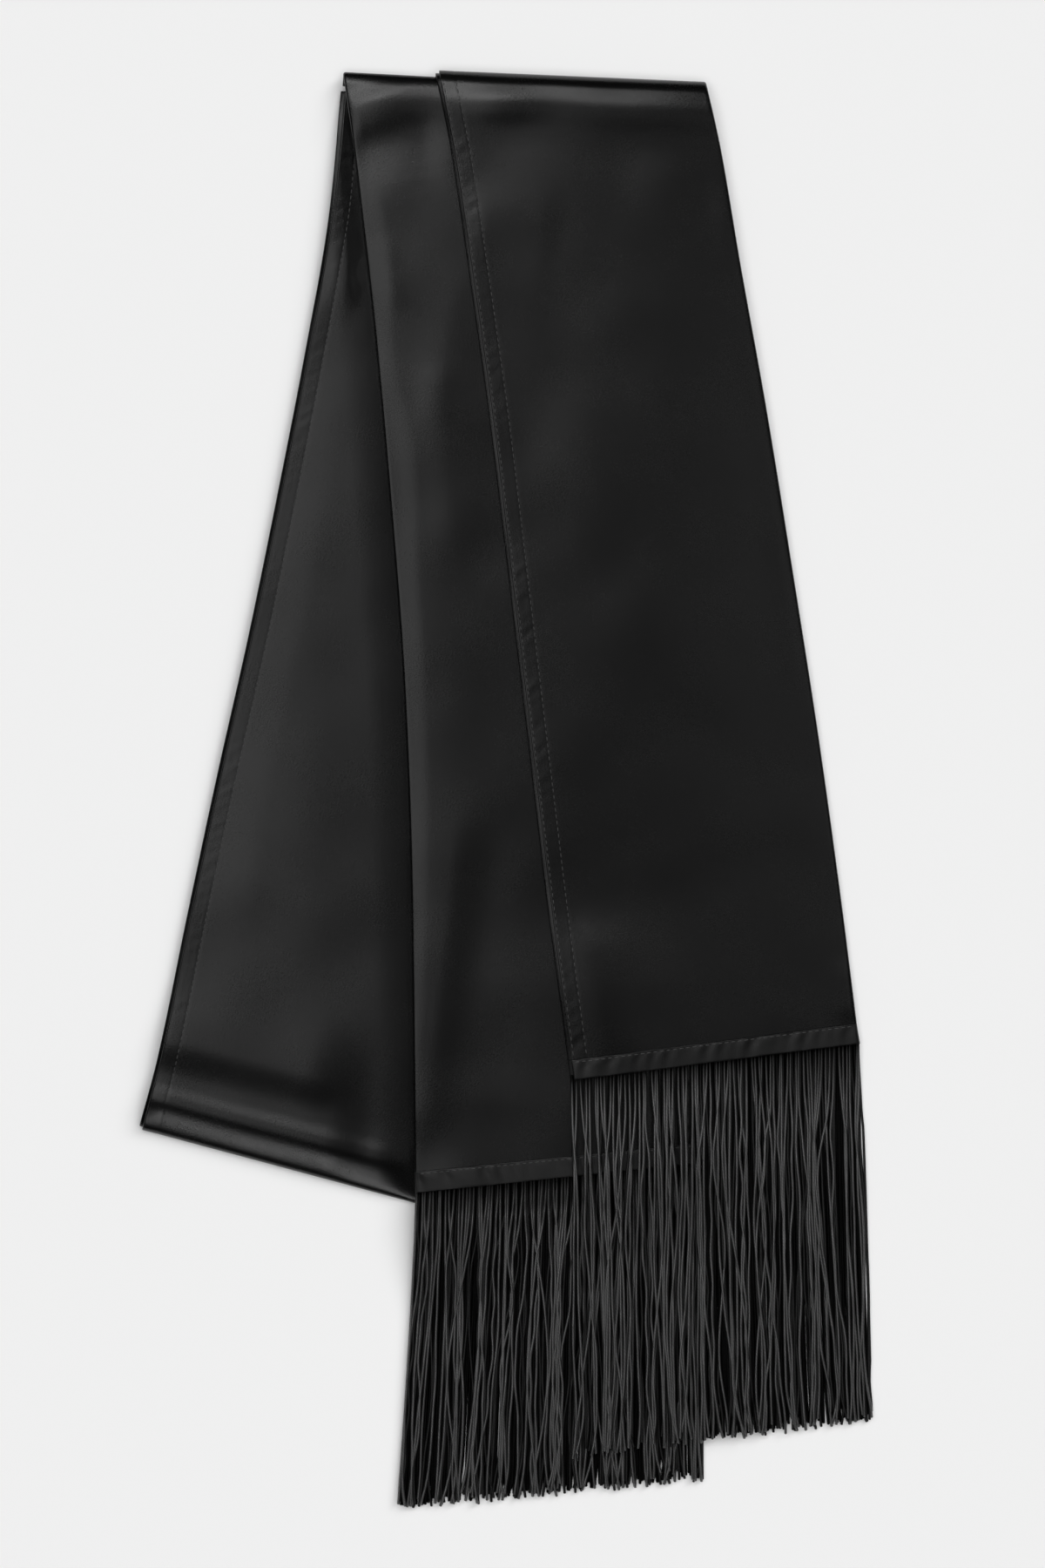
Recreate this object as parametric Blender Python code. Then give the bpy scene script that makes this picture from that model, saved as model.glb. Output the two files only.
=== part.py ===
"""A long black satin scarf with a corded fringe, laid folded on a table.

The scarf is one strip of satin, doubled lengthwise and then folded over itself into four stretches.
From the table up they are the under layers, the back fall, the second fall and the front fall. The
front fall wraps over the outer top fold to the under layers, the second fall wraps over the inner top
fold to the back fall, and the back fall wraps round the bottom fold to the under layers again.

The table is z = 0, +Y runs up the scarf to its top folds and +X to the right of the front fall. The
origin is on the table, under the middle of the whole scarf. Sizes here are in millimetres, and the
meshes are made in metres.
"""

import math
import random
from collections import namedtuple

import bmesh
import bpy
from mathutils import Vector

COLLECTION = "fringed_scarf"
MM = 0.001

# The doubled cloth: two leaves, joined along a lengthwise fold and open along the other side.
LEAF = 0.95
SLIT = 0.3
CLOTH = 2 * LEAF + SLIT
HEM = 7.0
PEEK = 1.5                 # the lower leaf shows this far past the upper one at the open side
SLIT_DEPTH = 6.0
EDGE_ROUND = 0.35

# The turned ends, and the fringe that hangs from them.
BAND_LEAF = 1.25
BAND = 2 * BAND_LEAF + SLIT
HEADER_DEPTH = 2.0
STRAND_WIDTH = 1.4
STRAND_HEIGHT = 1.2
FRINGE_FLOOR = 0.15        # the lowest strands lie this far above what is under them
FRINGE_STEP = 1.5          # from the lower fringe layer up to the upper one
FRINGE = FRINGE_FLOOR + FRINGE_STEP + STRAND_HEIGHT

# How the pieces lie on each other.
SEAM = 0.3                 # clearance between pieces
HOLD = 1.5                 # cloth stays level this far past the edge of what lies under it
FALL = 36.0                # and then comes down over this run
OUTER_TURN = 9.0           # depth of the outer top fold, to the end of its lower side
INNER_TURN = 6.0           # depth of the inner top fold and of the bottom fold
OUTER_TURN_STEPS = 6
INNER_TURN_STEPS = 4
CLEAR_STEP = 0.05

# How finely the stretches are divided.
COLUMNS = 12               # lines of points between the two hems of a fall
UNDER_COLUMNS = 4
ROWS = 22                  # stretches of cloth between the sections of a fall
UNDER_ROWS = 6

# Plan of each stretch, a row for each section from its first fold to its far end. The first section
# is the outer edge of a fold.
Section = namedtuple("Section", "left_x left_y right_x right_y")

FRONT_PLAN = [
    Section(-30.2, 309.6, 90.0, 304.3),
    Section(-23.3, 275.1, 93.0, 274.7),
    Section(-16.3, 228.6, 100.9, 228.2),
    Section(-7.1, 163.3, 112.5, 164.4),
    Section(0.8, 97.7, 123.4, 96.9),
    Section(9.8, 21.9, 135.0, 21.9),
    Section(18.8, -53.1, 145.1, -51.2),
    Section(27.0, -115.7, 151.1, -99.9),
    Section(28.1, -124.3, 151.9, -108.6),
]
SECOND_PLAN = [
    Section(-69.9, 308.8, 54.8, 302.1),
    Section(-66.4, 285.6, 59.3, 279.6),
    Section(-63.4, 260.8, 62.3, 255.9),
    Section(-56.6, 201.2, 68.6, 198.2),
    Section(-49.7, 125.8, 75.4, 125.1),
    Section(-44.3, 55.7, 80.6, 57.6),
    Section(-41.1, -17.4, 83.6, -12.6),
    Section(-39.8, -90.6, 84.8, -83.1),
    Section(-39.0, -163.7, 83.6, -151.3),
    Section(-38.6, -172.7, 84.4, -159.9),
]
BACK_PLAN = [
    Section(-70.1, 308.4, 54.8, 301.7),
    Section(-76.1, 246.9, 47.3, 237.6),
    Section(-86.6, 186.9, 35.6, 173.1),
    Section(-98.3, 126.9, 23.6, 110.1),
    Section(-110.6, 66.9, 10.9, 47.1),
    Section(-124.1, 6.9, -3.0, -15.9),
    Section(-136.9, -53.1, -16.1, -79.3),
    Section(-149.3, -113.1, -28.1, -143.1),
    Section(-157.9, -145.3, -36.8, -177.9),
]
UNDER_PLAN = [
    Section(-30.0, 309.6, 90.0, 304.3),
    Section(-157.9, -145.3, -36.8, -177.9),
]

# The largest soft ridges of each stretch: a straight crest, how far it spreads and how high it stands.
Ridge = namedtuple("Ridge", "start_x start_y end_x end_y spread height")

FRONT_RIDGES = [
    Ridge(-20.0, 297.0, 55.0, 292.0, 8.0, 0.9),
    Ridge(-4.0, 254.0, 8.0, 238.0, 12.0, 0.7),
    Ridge(96.0, 275.0, 102.0, 205.0, 10.0, 0.8),
    Ridge(34.0, -84.0, 44.0, -100.0, 10.0, 0.8),
]
SECOND_RIDGES = [
    Ridge(-62.0, 300.0, -46.0, 299.0, 6.0, 0.6),
    Ridge(-57.0, 267.0, -40.0, 264.0, 8.0, 1.2),
    Ridge(-50.0, 225.0, -25.0, 170.0, 11.0, 1.3),
    Ridge(-36.0, 40.0, -31.0, -90.0, 8.0, 1.0),
    Ridge(-10.0, -130.0, 0.0, -162.0, 9.0, 1.0),
]
BACK_RIDGES = [
    Ridge(-75.0, 235.0, -73.0, 225.0, 6.0, 0.9),
    Ridge(-84.0, 150.0, -112.0, 20.0, 13.0, 1.0),
    Ridge(-142.0, -107.0, -84.0, -124.0, 8.0, 1.2),
    Ridge(-143.0, -131.0, -58.0, -154.0, 6.0, 1.3),
]

# The fringe at each end: the length of its strands, how far their tips spread to the left and to the
# right of their roots, how far they sway and their seed.
Fringe = namedtuple("Fringe", "length left_spread right_spread sway seed")

FRONT_FRINGE = Fringe(160.0, 1.0, 5.0, 1.1, 11)
SECOND_FRINGE = Fringe(136.5, -6.0, -0.8, 1.2, 23)
DOWN = Vector((0.0, -1.0))
STRANDS = 60
END_MARGIN = 1.6           # from the end of the header to its first strand
STOPS = (0.09, 0.3, 0.65, 1.0)     # shares of a strand's length at which it bends
UNEVEN = 2.6               # strands are longer or shorter than their fringe by up to this
STRAY = 0.16               # and stray sideways by up to this

SATIN = ("black_satin", (0.012, 0.012, 0.013), 0.34)
BAND_SATIN = ("band_satin", (0.016, 0.016, 0.017), 0.42)
CORD = ("fringe_cord", (0.030, 0.030, 0.032), 0.62)


def smoothstep(value):
    """Ease from 0 to 1 as value goes from 0 to 1."""
    value = min(max(value, 0.0), 1.0)
    return value * value * (3.0 - 2.0 * value)


class Plan:
    """The plan of a stretch: its two side lines, smooth through its sections."""

    def __init__(self, sections):
        self.sections = sections
        self.stops = [0.0]
        for one, two in zip(sections, sections[1:]):
            left = math.hypot(two.left_x - one.left_x, two.left_y - one.left_y)
            right = math.hypot(two.right_x - one.right_x, two.right_y - one.right_y)
            self.stops.append(self.stops[-1] + (left + right) / 2)
        self.length = self.stops[-1]

    def slope(self, index, column):
        """Change of one column for each millimetre along the stretch, at a section."""
        before = max(index - 1, 0)
        after = min(index + 1, len(self.sections) - 1)
        rise = self.sections[after][column] - self.sections[before][column]
        return rise / (self.stops[after] - self.stops[before])

    def at(self, along):
        """Left and right points of the stretch at a distance from its first section."""
        index = 0
        while index < len(self.stops) - 2 and along > self.stops[index + 1]:
            index += 1
        span = self.stops[index + 1] - self.stops[index]
        t = (along - self.stops[index]) / span
        values = []
        for column in range(4):
            start = self.sections[index][column]
            end = self.sections[index + 1][column]
            out = self.slope(index, column) * span
            into = self.slope(index + 1, column) * span
            curve = (
                (2 * t ** 3 - 3 * t ** 2 + 1) * start
                + (t ** 3 - 2 * t ** 2 + t) * out
                + (3 * t ** 2 - 2 * t ** 3) * end
                + (t ** 3 - t ** 2) * into
            )
            values.append(curve)
        return Vector(values[:2]), Vector(values[2:])

    def outline(self, steps=12):
        """Corners of the plan, down the left side and back up the right one."""
        pairs = [self.at(self.length * step / steps) for step in range(steps + 1)]
        return [left for left, _ in pairs] + [right for _, right in reversed(pairs)]


def distance_outside(outline, x, y):
    """How far a point lies outside an outline, or 0 if it is inside."""
    nearest = math.inf
    inside = False
    for one, two in zip(outline, outline[1:] + outline[:1]):
        if (one.y > y) != (two.y > y):
            crossing = one.x + (y - one.y) * (two.x - one.x) / (two.y - one.y)
            if x < crossing:
                inside = not inside
        side = two - one
        t = ((x - one.x) * side.x + (y - one.y) * side.y) / side.length_squared
        t = min(max(t, 0.0), 1.0)
        nearest = min(nearest, math.hypot(x - one.x - t * side.x, y - one.y - t * side.y))
    return 0.0 if inside else nearest


class Layer:
    """A stretch of cloth or fringe as it lies on the layers below it."""

    def __init__(self, outline, thickness, ridges, below):
        self.outline = outline
        self.thickness = thickness
        self.ridges = ridges
        self.below = below

    def underside(self, x, y):
        """Height of the layer's underside above the table."""
        height = 0.0
        for layer in self.below:
            beyond = distance_outside(layer.outline, x, y)
            if beyond < HOLD + FALL:
                share = 1.0 - smoothstep((beyond - HOLD) / FALL)
                height = max(height, share * (layer.top(x, y) + SEAM))
        return height + self.lift(x, y)

    def top(self, x, y):
        """Height of the layer's upper side above the table."""
        return self.underside(x, y) + self.thickness

    def lift(self, x, y):
        """How far the soft ridges lift the layer at a point."""
        height = 0.0
        for ridge in self.ridges:
            run = Vector((ridge.end_x - ridge.start_x, ridge.end_y - ridge.start_y))
            away = Vector((x - ridge.start_x, y - ridge.start_y))
            t = min(max(away.dot(run) / run.length_squared, 0.0), 1.0)
            off = (away - t * run).length / ridge.spread
            height += ridge.height * math.exp(-off * off)
        return height


def edge_points(width, columns):
    """Section of the doubled cloth, open at 0 and folded at width.

    Each point has its place across the cloth and its share of half the thickness, from the top of
    the upper leaf round to its own edge again.
    """
    inner = [HEM + (width - 2 * HEM) * i / (columns - 1) for i in range(columns)]
    leaf_middle = (LEAF + SLIT) / CLOTH
    leaf_inside = SLIT / CLOTH
    turn = CLOTH / 2
    upper = [(PEEK + EDGE_ROUND, 1.0)] + [(across, 1.0) for across in inner] + [(width - turn, 1.0)]
    fold = [(width - turn * 0.3, 0.7), (width, 0.0), (width - turn * 0.3, -0.7)]
    lower = [(width - turn, -1.0)] + [(across, -1.0) for across in reversed(inner)]
    lower_edge = [(EDGE_ROUND, -1.0), (0.0, -leaf_middle), (EDGE_ROUND, -leaf_inside)]
    slit = [(SLIT_DEPTH, 0.0), (PEEK + EDGE_ROUND, leaf_inside), (PEEK, leaf_middle)]
    return upper + fold + lower + lower_edge + slit


class Row:
    """One section of a stretch: where its middle runs, and which way its upper side faces."""

    def __init__(self, left, right, place, facing=None):
        self.left = left
        self.right = right
        self.place = place
        self.facing = facing or (lambda point: Vector((0.0, 0.0, 1.0)))

    def points(self, thickness, fold_on_left, columns):
        width = (self.right - self.left).length
        corners = []
        for across, share in edge_points(width, columns):
            reach = (width - across if fold_on_left else across) / width
            plan = self.left.lerp(self.right, reach)
            corners.append(self.place(plan) + self.facing(plan) * (share * thickness / 2))
        return corners


def flat_row(layer, left, right):
    """A section where the cloth lies on what is under it."""
    def place(plan):
        return Vector((plan.x, plan.y, layer.underside(plan.x, plan.y) + layer.thickness / 2))
    return Row(left, right, place)


def turn_rows(layer, lower_middle, edge_left, edge_right, depth, steps):
    """Sections round a fold, from its upper side over its outer edge to its lower side.

    lower_middle gives the height of the middle of the stretch that the fold leads to.
    """
    half = layer.thickness / 2
    along = (edge_right - edge_left).normalized()
    centre = layer.outline[0].lerp(layer.outline[len(layer.outline) // 2], 0.5)
    outward = Vector((-along.y, along.x))
    if outward.dot(edge_left - centre) < 0:
        outward = -outward

    def middles(plan):
        start = plan - outward * depth
        upper = layer.underside(start.x, start.y) + half
        return upper, lower_middle(start)

    def turned(angle):
        def place(plan):
            upper, lower = middles(plan)
            radius = (upper - lower) / 2
            spot = plan - outward * (half + radius * (1 - math.sin(angle)))
            return Vector((spot.x, spot.y, lower + radius + radius * math.cos(angle)))

        def facing(plan):
            side = outward * math.sin(angle)
            return Vector((side.x, side.y, math.cos(angle)))
        return Row(edge_left, edge_right, place, facing)

    def last_place(plan):
        spot = plan - outward * depth
        return Vector((spot.x, spot.y, middles(plan)[1]))

    rows = [turned(math.pi * step / steps) for step in range(steps + 1)]
    rows.append(Row(edge_left, edge_right, last_place, lambda plan: Vector((0.0, 0.0, -1.0))))
    return rows


def clear_of_turn(plan, depth, at_far_end=False):
    """How far along a stretch both its sides are SEAM past a fold of some depth at one of its ends."""
    edge_left, edge_right = plan.at(plan.length if at_far_end else 0.0)
    along = (edge_right - edge_left).normalized()
    across = Vector((-along.y, along.x))
    distance = depth
    while True:
        sides = plan.at(plan.length - distance if at_far_end else distance)
        if min(abs((side - edge_left).dot(across)) for side in sides) >= depth + SEAM:
            return plan.length - distance if at_far_end else distance
        distance += CLEAR_STEP


def new_object(name, mesh_maker, finish):
    """Make a named object from a bmesh, with its faces out and its own material."""
    mesh = bpy.data.meshes.new(name)
    shape = bmesh.new()
    mesh_maker(shape)
    bmesh.ops.recalc_face_normals(shape, faces=shape.faces)
    bmesh.ops.scale(shape, vec=(MM, MM, MM), verts=shape.verts)
    shape.to_mesh(mesh)
    shape.free()
    mesh.shade_smooth()
    mesh.set_sharp_from_angle(angle=math.radians(50))
    thing = bpy.data.objects.new(name, mesh)
    bpy.data.collections[COLLECTION].objects.link(thing)
    label, colour, roughness = finish
    material = bpy.data.materials.new(f"{label}_{name}")
    material.use_nodes = True
    shader = material.node_tree.nodes["Principled BSDF"]
    shader.inputs["Base Color"].default_value = (*colour, 1.0)
    shader.inputs["Roughness"].default_value = roughness
    shader.inputs["Metallic"].default_value = 0.0
    mesh.materials.append(material)
    return thing


def loft(rings):
    """A maker of the closed skin through rings of points, with a cap at each end."""
    def make(shape):
        loops = [[shape.verts.new(point) for point in ring] for ring in rings]
        for one, two in zip(loops, loops[1:]):
            for i in range(len(one)):
                j = (i + 1) % len(one)
                shape.faces.new((one[i], one[j], two[j], two[i]))
        caps = [shape.faces.new(loops[0]), shape.faces.new(loops[-1])]
        bmesh.ops.triangulate(shape, faces=caps, ngon_method="EAR_CLIP")
    return make


def build_stretch(name, layer, rows, fold_on_left=False, columns=COLUMNS, finish=SATIN):
    """One stretch of doubled cloth through its rows."""
    rings = [row.points(layer.thickness, fold_on_left, columns) for row in rows]
    return new_object(name, loft(rings), finish)


def flat_rows(layer, plan, start, end, count):
    """Evenly spaced sections of a stretch between two distances along it."""
    rows = []
    for step in range(count + 1):
        left, right = plan.at(start + (end - start) * step / count)
        rows.append(flat_row(layer, left, right))
    return rows


def strand_path(fringe, layer, root, across, reach, height, strays):
    """Points along the middle of a strand's flat underside, from its root to its tip."""
    sideways, longer, phase = strays
    spread = fringe.left_spread + (fringe.right_spread - fringe.left_spread) * reach
    length = fringe.length + longer
    path = []
    for stop in (0.0,) + STOPS:
        wave = math.sin(2 * math.pi * stop * 1.4 + phase) - math.sin(phase)
        shift = spread * stop ** 1.3 + fringe.sway * wave * stop + sideways * min(stop * 6, 1.0)
        spot = root + DOWN * (length * stop) + across * shift
        lift = layer.underside(spot.x, spot.y) + height
        path.append(Vector((spot.x, spot.y, lift)))
    return path


def build_fringe(name, layer, plan, fringe, height, turned_phase):
    """A header strip with strands that grow out of its front, each of three sides."""
    left, right = plan.at(plan.length)
    across = (right - left).normalized()
    inward = Vector((-across.y, across.x))
    chance = random.Random(fringe.seed + turned_phase)
    pitch = ((right - left).length - 2 * END_MARGIN) / (STRANDS - 1)

    def standing(spot, rise):
        return Vector((spot.x, spot.y, layer.underside(spot.x, spot.y) + height + rise))

    def make(shape):
        def corner(spot, rise):
            return shape.verts.new(standing(spot, rise))

        def header_end(spot):
            back = spot + inward * HEADER_DEPTH
            front = corner(spot, 0.0), corner(spot, STRAND_HEIGHT)
            return front + (corner(back, STRAND_HEIGHT), corner(back, 0.0))

        front_low, front_high, back_high, back_low = header_end(left)
        shape.faces.new((front_low, front_high, back_high, back_low))
        for index in range(STRANDS):
            root = left + across * (END_MARGIN + pitch * index)
            reach = index / (STRANDS - 1)
            strays = (
                chance.uniform(-STRAY, STRAY),
                chance.uniform(-UNEVEN, UNEVEN),
                2.6 * math.sin(3.1 * reach + turned_phase) + turned_phase,
            )
            path = strand_path(fringe, layer, root, across, reach, height, strays)
            half = across * (STRAND_WIDTH / 2)
            low_left = corner(root - half, 0.0)
            low_right = corner(root + half, 0.0)
            high = corner(root, STRAND_HEIGHT)
            next_back_high = corner(root + inward * HEADER_DEPTH, STRAND_HEIGHT)
            next_back_low = corner(root + inward * HEADER_DEPTH, 0.0)
            shape.faces.new((front_low, low_left, high, front_high))
            shape.faces.new((front_high, high, next_back_high, back_high))
            shape.faces.new((back_high, next_back_high, next_back_low, back_low))
            shape.faces.new((back_low, next_back_low, low_left, front_low))
            shape.faces.new((next_back_low, low_right, low_left))
            ring = [low_left, low_right, high]
            for point in path[1:]:
                side = Vector((half.x, half.y, 0.0))
                ahead = [
                    shape.verts.new(point - side),
                    shape.verts.new(point + side),
                    shape.verts.new(point + Vector((0.0, 0.0, STRAND_HEIGHT))),
                ]
                for i in range(3):
                    j = (i + 1) % 3
                    shape.faces.new((ring[i], ring[j], ahead[j], ahead[i]))
                ring = ahead
            shape.faces.new(ring)
            front_low, front_high = low_right, high
            back_high, back_low = next_back_high, next_back_low
        last_low, last_high, last_back_high, last_back_low = header_end(right)
        shape.faces.new((front_low, last_low, last_high, front_high))
        shape.faces.new((front_high, last_high, last_back_high, back_high))
        shape.faces.new((back_high, last_back_high, last_back_low, back_low))
        shape.faces.new((back_low, last_back_low, last_low, front_low))
        shape.faces.new((last_low, last_high, last_back_high, last_back_low))

    return new_object(name, make, CORD)


def fringe_outline(plan, fringe):
    """Plan of a fringe, from the end of its band to a little past its longest tips."""
    left, right = plan.at(plan.length)
    across = (right - left).normalized()
    fall = DOWN * (fringe.length + UNEVEN)
    return [
        left,
        left + fall + across * min(fringe.left_spread, 0.0),
        right + fall + across * max(fringe.right_spread, 0.0),
        right,
    ]


def clear_scene():
    for thing in list(bpy.data.objects):
        bpy.data.objects.remove(thing, do_unlink=True)
    collection = bpy.data.collections.new(COLLECTION)
    bpy.context.scene.collection.children.link(collection)


def main():
    clear_scene()
    front_plan, second_plan = Plan(FRONT_PLAN), Plan(SECOND_PLAN)
    back_plan, under_plan = Plan(BACK_PLAN), Plan(UNDER_PLAN)

    under = Layer(under_plan.outline(), CLOTH, [], [])
    back = Layer(back_plan.outline(), CLOTH, BACK_RIDGES, [under])
    second = Layer(second_plan.outline(), CLOTH, SECOND_RIDGES, [under, back])
    second_end = Layer(second_plan.outline(), BAND, SECOND_RIDGES, [under, back])
    second_cords = Layer(fringe_outline(second_plan, SECOND_FRINGE), FRINGE, [], [under, back])
    front = Layer(front_plan.outline(), CLOTH, FRONT_RIDGES, [under, back, second])
    front_end = Layer(front_plan.outline(), BAND, FRONT_RIDGES, [under, back, second])
    front_cords = Layer([], FRINGE, [], [under, back, second_end, second_cords])

    def under_middle(plan):
        return CLOTH / 2

    def back_middle(plan):
        return back.underside(plan.x, plan.y) + CLOTH / 2

    under_start = clear_of_turn(under_plan, OUTER_TURN)
    under_end = clear_of_turn(under_plan, INNER_TURN, at_far_end=True)
    under_rows = flat_rows(under, under_plan, under_start, under_end, UNDER_ROWS)
    build_stretch("under_layers", under, under_rows, columns=UNDER_COLUMNS)

    bottom_left, bottom_right = back_plan.at(back_plan.length)
    back_start = clear_of_turn(back_plan, INNER_TURN)
    back_rows = flat_rows(back, back_plan, back_start, back_plan.length - INNER_TURN, ROWS)
    bottom_turn = turn_rows(back, under_middle, bottom_left, bottom_right, INNER_TURN, INNER_TURN_STEPS)
    build_stretch("back_fall", back, back_rows + bottom_turn)

    band_start = second_plan.stops[-2]
    top_left, top_right = second_plan.at(0.0)
    inner_turn = turn_rows(second, back_middle, top_left, top_right, INNER_TURN, INNER_TURN_STEPS)
    second_rows = flat_rows(second, second_plan, INNER_TURN, band_start - SEAM, ROWS)
    build_stretch("second_fall", second, inner_turn[::-1] + second_rows, fold_on_left=True)
    band_end = second_plan.length - HEADER_DEPTH - SEAM
    band_rows = flat_rows(second_end, second_plan, band_start, band_end, 1)
    build_stretch("second_end_band", second_end, band_rows, fold_on_left=True, finish=BAND_SATIN)

    band_start = front_plan.stops[-2]
    top_left, top_right = front_plan.at(0.0)
    outer_turn = turn_rows(front, under_middle, top_left, top_right, OUTER_TURN, OUTER_TURN_STEPS)
    front_rows = flat_rows(front, front_plan, OUTER_TURN, band_start - SEAM, ROWS)
    build_stretch("front_fall", front, outer_turn[::-1] + front_rows)
    band_end = front_plan.length - HEADER_DEPTH - SEAM
    band_rows = flat_rows(front_end, front_plan, band_start, band_end, 1)
    build_stretch("front_end_band", front_end, band_rows, finish=BAND_SATIN)

    ends = (
        ("second", second_cords, second_plan, SECOND_FRINGE),
        ("front", front_cords, front_plan, FRONT_FRINGE),
    )
    for side, layer, plan, fringe in ends:
        upper_height = FRINGE_FLOOR + FRINGE_STEP
        build_fringe(f"{side}_fringe_lower", layer, plan, fringe, FRINGE_FLOOR, 1)
        build_fringe(f"{side}_fringe_upper", layer, plan, fringe, upper_height, 0)


main()
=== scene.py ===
"""A long black satin scarf with a corded fringe, laid folded on a pale table.

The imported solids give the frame, and each of them is replaced here by thin cloth or by cords of the
same form. Sizes in the tables are in millimetres: the table is z = 0 and +Y runs up the scarf.
"""

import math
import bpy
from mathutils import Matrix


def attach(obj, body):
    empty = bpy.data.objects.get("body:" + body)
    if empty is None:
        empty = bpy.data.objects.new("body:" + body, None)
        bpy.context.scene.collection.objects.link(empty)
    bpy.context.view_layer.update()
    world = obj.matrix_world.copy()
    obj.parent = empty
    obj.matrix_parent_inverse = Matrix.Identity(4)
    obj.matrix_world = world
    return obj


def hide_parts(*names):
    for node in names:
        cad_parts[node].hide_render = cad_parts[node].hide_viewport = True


bl_info = {
    "name": "Fringed satin scarf",
    "version": (1, 0, 0),
    "blender": (4, 5, 0),
    "location": "View3D > Sidebar > Scarf",
    "description": "Makes a folded satin scarf with a corded fringe on its packed frame",
    "category": "Object",
}

from collections import namedtuple

import bpy
import numpy as np
from bpy.props import FloatProperty, FloatVectorProperty, IntProperty, PointerProperty
from mathutils import Matrix, Vector

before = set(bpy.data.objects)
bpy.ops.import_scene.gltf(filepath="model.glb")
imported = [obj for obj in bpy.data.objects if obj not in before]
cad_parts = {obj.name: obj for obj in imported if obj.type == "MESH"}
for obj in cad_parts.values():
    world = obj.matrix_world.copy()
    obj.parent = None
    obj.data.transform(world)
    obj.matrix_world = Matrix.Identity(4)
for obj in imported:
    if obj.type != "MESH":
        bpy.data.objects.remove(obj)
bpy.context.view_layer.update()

MM = 0.001
BODY = "root"
CLOTH_MAP = "cloth"        # the flat map of each piece
CHUNK = 8192               # spots worked on at a time
TURN = 2 * math.pi

# The doubled cloth, and how it lies.
WIDTH = 125.0              # of the doubled strip
CLOTH = 2.2                # thickness of a stretch, and below it those of a band and of a fringe
BAND = 2.8
FRINGE = 2.85
HEM = 7.0                  # depth of the sewn hem
HEM_LINE = HEM - 0.25      # its stitch line, and the second one that only the front fall has
EDGE_LINE = 1.1
PEEK = 1.5                 # the lower leaf shows this far beyond the upper one's edge
SEAM = 0.3                 # between cloth that lies on other cloth
BUTT = 0.03                # between the end of a fall and its band
TABLE_GAP = 0.01           # nothing lies lower than this
HOLD = 1.5                 # cloth stays at the height of what is below it for this run past its edge,
FALL = 140.0               # and then comes down over this one
CORD_FALL = 50.0           # the cords come down sooner than the cloth
OUTER_TURN = 9.0           # depth of the lower side of the outer top fold, and of the other folds
INNER_TURN = 6.0
BACK_LOFT = 0.9            # the back fall stands this far off the cloth below, but not under the
NEST = 16.0                # second fall, to which it dips over this run
SECOND_LOFT = 0.6
WAVE_LENGTHS = (90.0, 28.0)
WAVE_FLOOR = 2.2           # keeps the broad waves off the cloth below

# How finely the cloth is made.
HEM_WALL = 0.95            # thickness of a leaf at its hem
HEM_EDGE = ((0.3, 0.0), (0.06, 0.2), (0.0, 0.5), (0.06, 0.8), (0.3, 1.0))    # in from it, and up it
TURN_POINTS = 9            # points round the fold along the side of a stretch
TURN_STEPS = 9             # rows round the lower half of a top or bottom fold
CROWN_STEPS = 22           # rows over the upper half of a top or bottom fold
OUTLINE_STEPS = 20         # steps along each side of an outline
LOWER_COLUMNS = 14         # columns across the lower side of a stretch, and inside it
INNER_COLUMNS = 10
MAP_COLUMN = 40            # the flat map is measured along this column of the ring
UNDER_COLUMNS = 24         # the hidden layers are made more coarsely
UNDER_ROW = 6.0
BAND_COLUMNS = 110         # columns across a band, its leaf, and its wall at the hem
BAND_LEAF = 1.25
BAND_WALL = 1.2
BAND_ROUND = 0.7           # run over which a band's long edges are rounded, and how deep
BAND_DROP = 0.62

# Plan of each stretch, a row for each section: left_x, left_y, right_x, right_y. The first section is
# the outer edge of a fold, as in the solids.
FRONT_PLAN = (
    (-30.2, 310.4, 86.4, 305.3),
    (-23.3, 275.1, 93.2, 274.7),
    (-16.3, 228.6, 101.1, 228.2),
    (-7.1, 163.3, 112.6, 164.4),
    (0.8, 97.7, 123.6, 96.9),
    (9.8, 21.9, 135.3, 21.9),
    (18.8, -53.1, 145.4, -51.2),
    (27.0, -115.7, 151.5, -99.9),
    (28.1, -124.3, 152.9, -108.6),
)
SECOND_PLAN = (
    (-69.9, 309.7, 54.8, 303.0),
    (-66.4, 285.6, 59.3, 279.6),
    (-63.4, 260.8, 62.3, 255.9),
    (-56.6, 201.2, 68.6, 198.2),
    (-49.7, 125.8, 75.4, 125.1),
    (-44.3, 55.7, 80.6, 57.6),
    (-41.1, -17.4, 83.6, -12.6),
    (-39.8, -90.6, 84.8, -83.1),
    (-39.0, -163.7, 83.6, -151.3),
    (-38.6, -172.7, 84.4, -159.9),
)
BACK_PLAN = (
    (-70.1, 308.4, 54.8, 301.7),
    (-76.1, 246.9, 47.3, 237.6),
    (-86.6, 186.9, 35.6, 173.1),
    (-98.3, 126.9, 23.6, 110.1),
    (-110.6, 66.9, 10.9, 47.1),
    (-124.1, 6.9, -3.0, -15.9),
    (-136.9, -53.1, -16.1, -79.3),
    (-149.3, -113.1, -28.1, -143.1),
    (-157.9, -145.3, -36.8, -177.9),
)
UNDER_PLAN = (
    (-30.0, 309.6, 90.0, 304.3),
    (-157.9, -145.3, -36.8, -177.9),
)

# Creases: the line of the crest, how far the cloth falls off to its left and to its right, seen along
# the line, how high the crest stands, or how deep it lies if that is below 0, and the run over which
# it fades in and out at its ends.
Crease = namedtuple("Crease", "line left right height fade")

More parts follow.
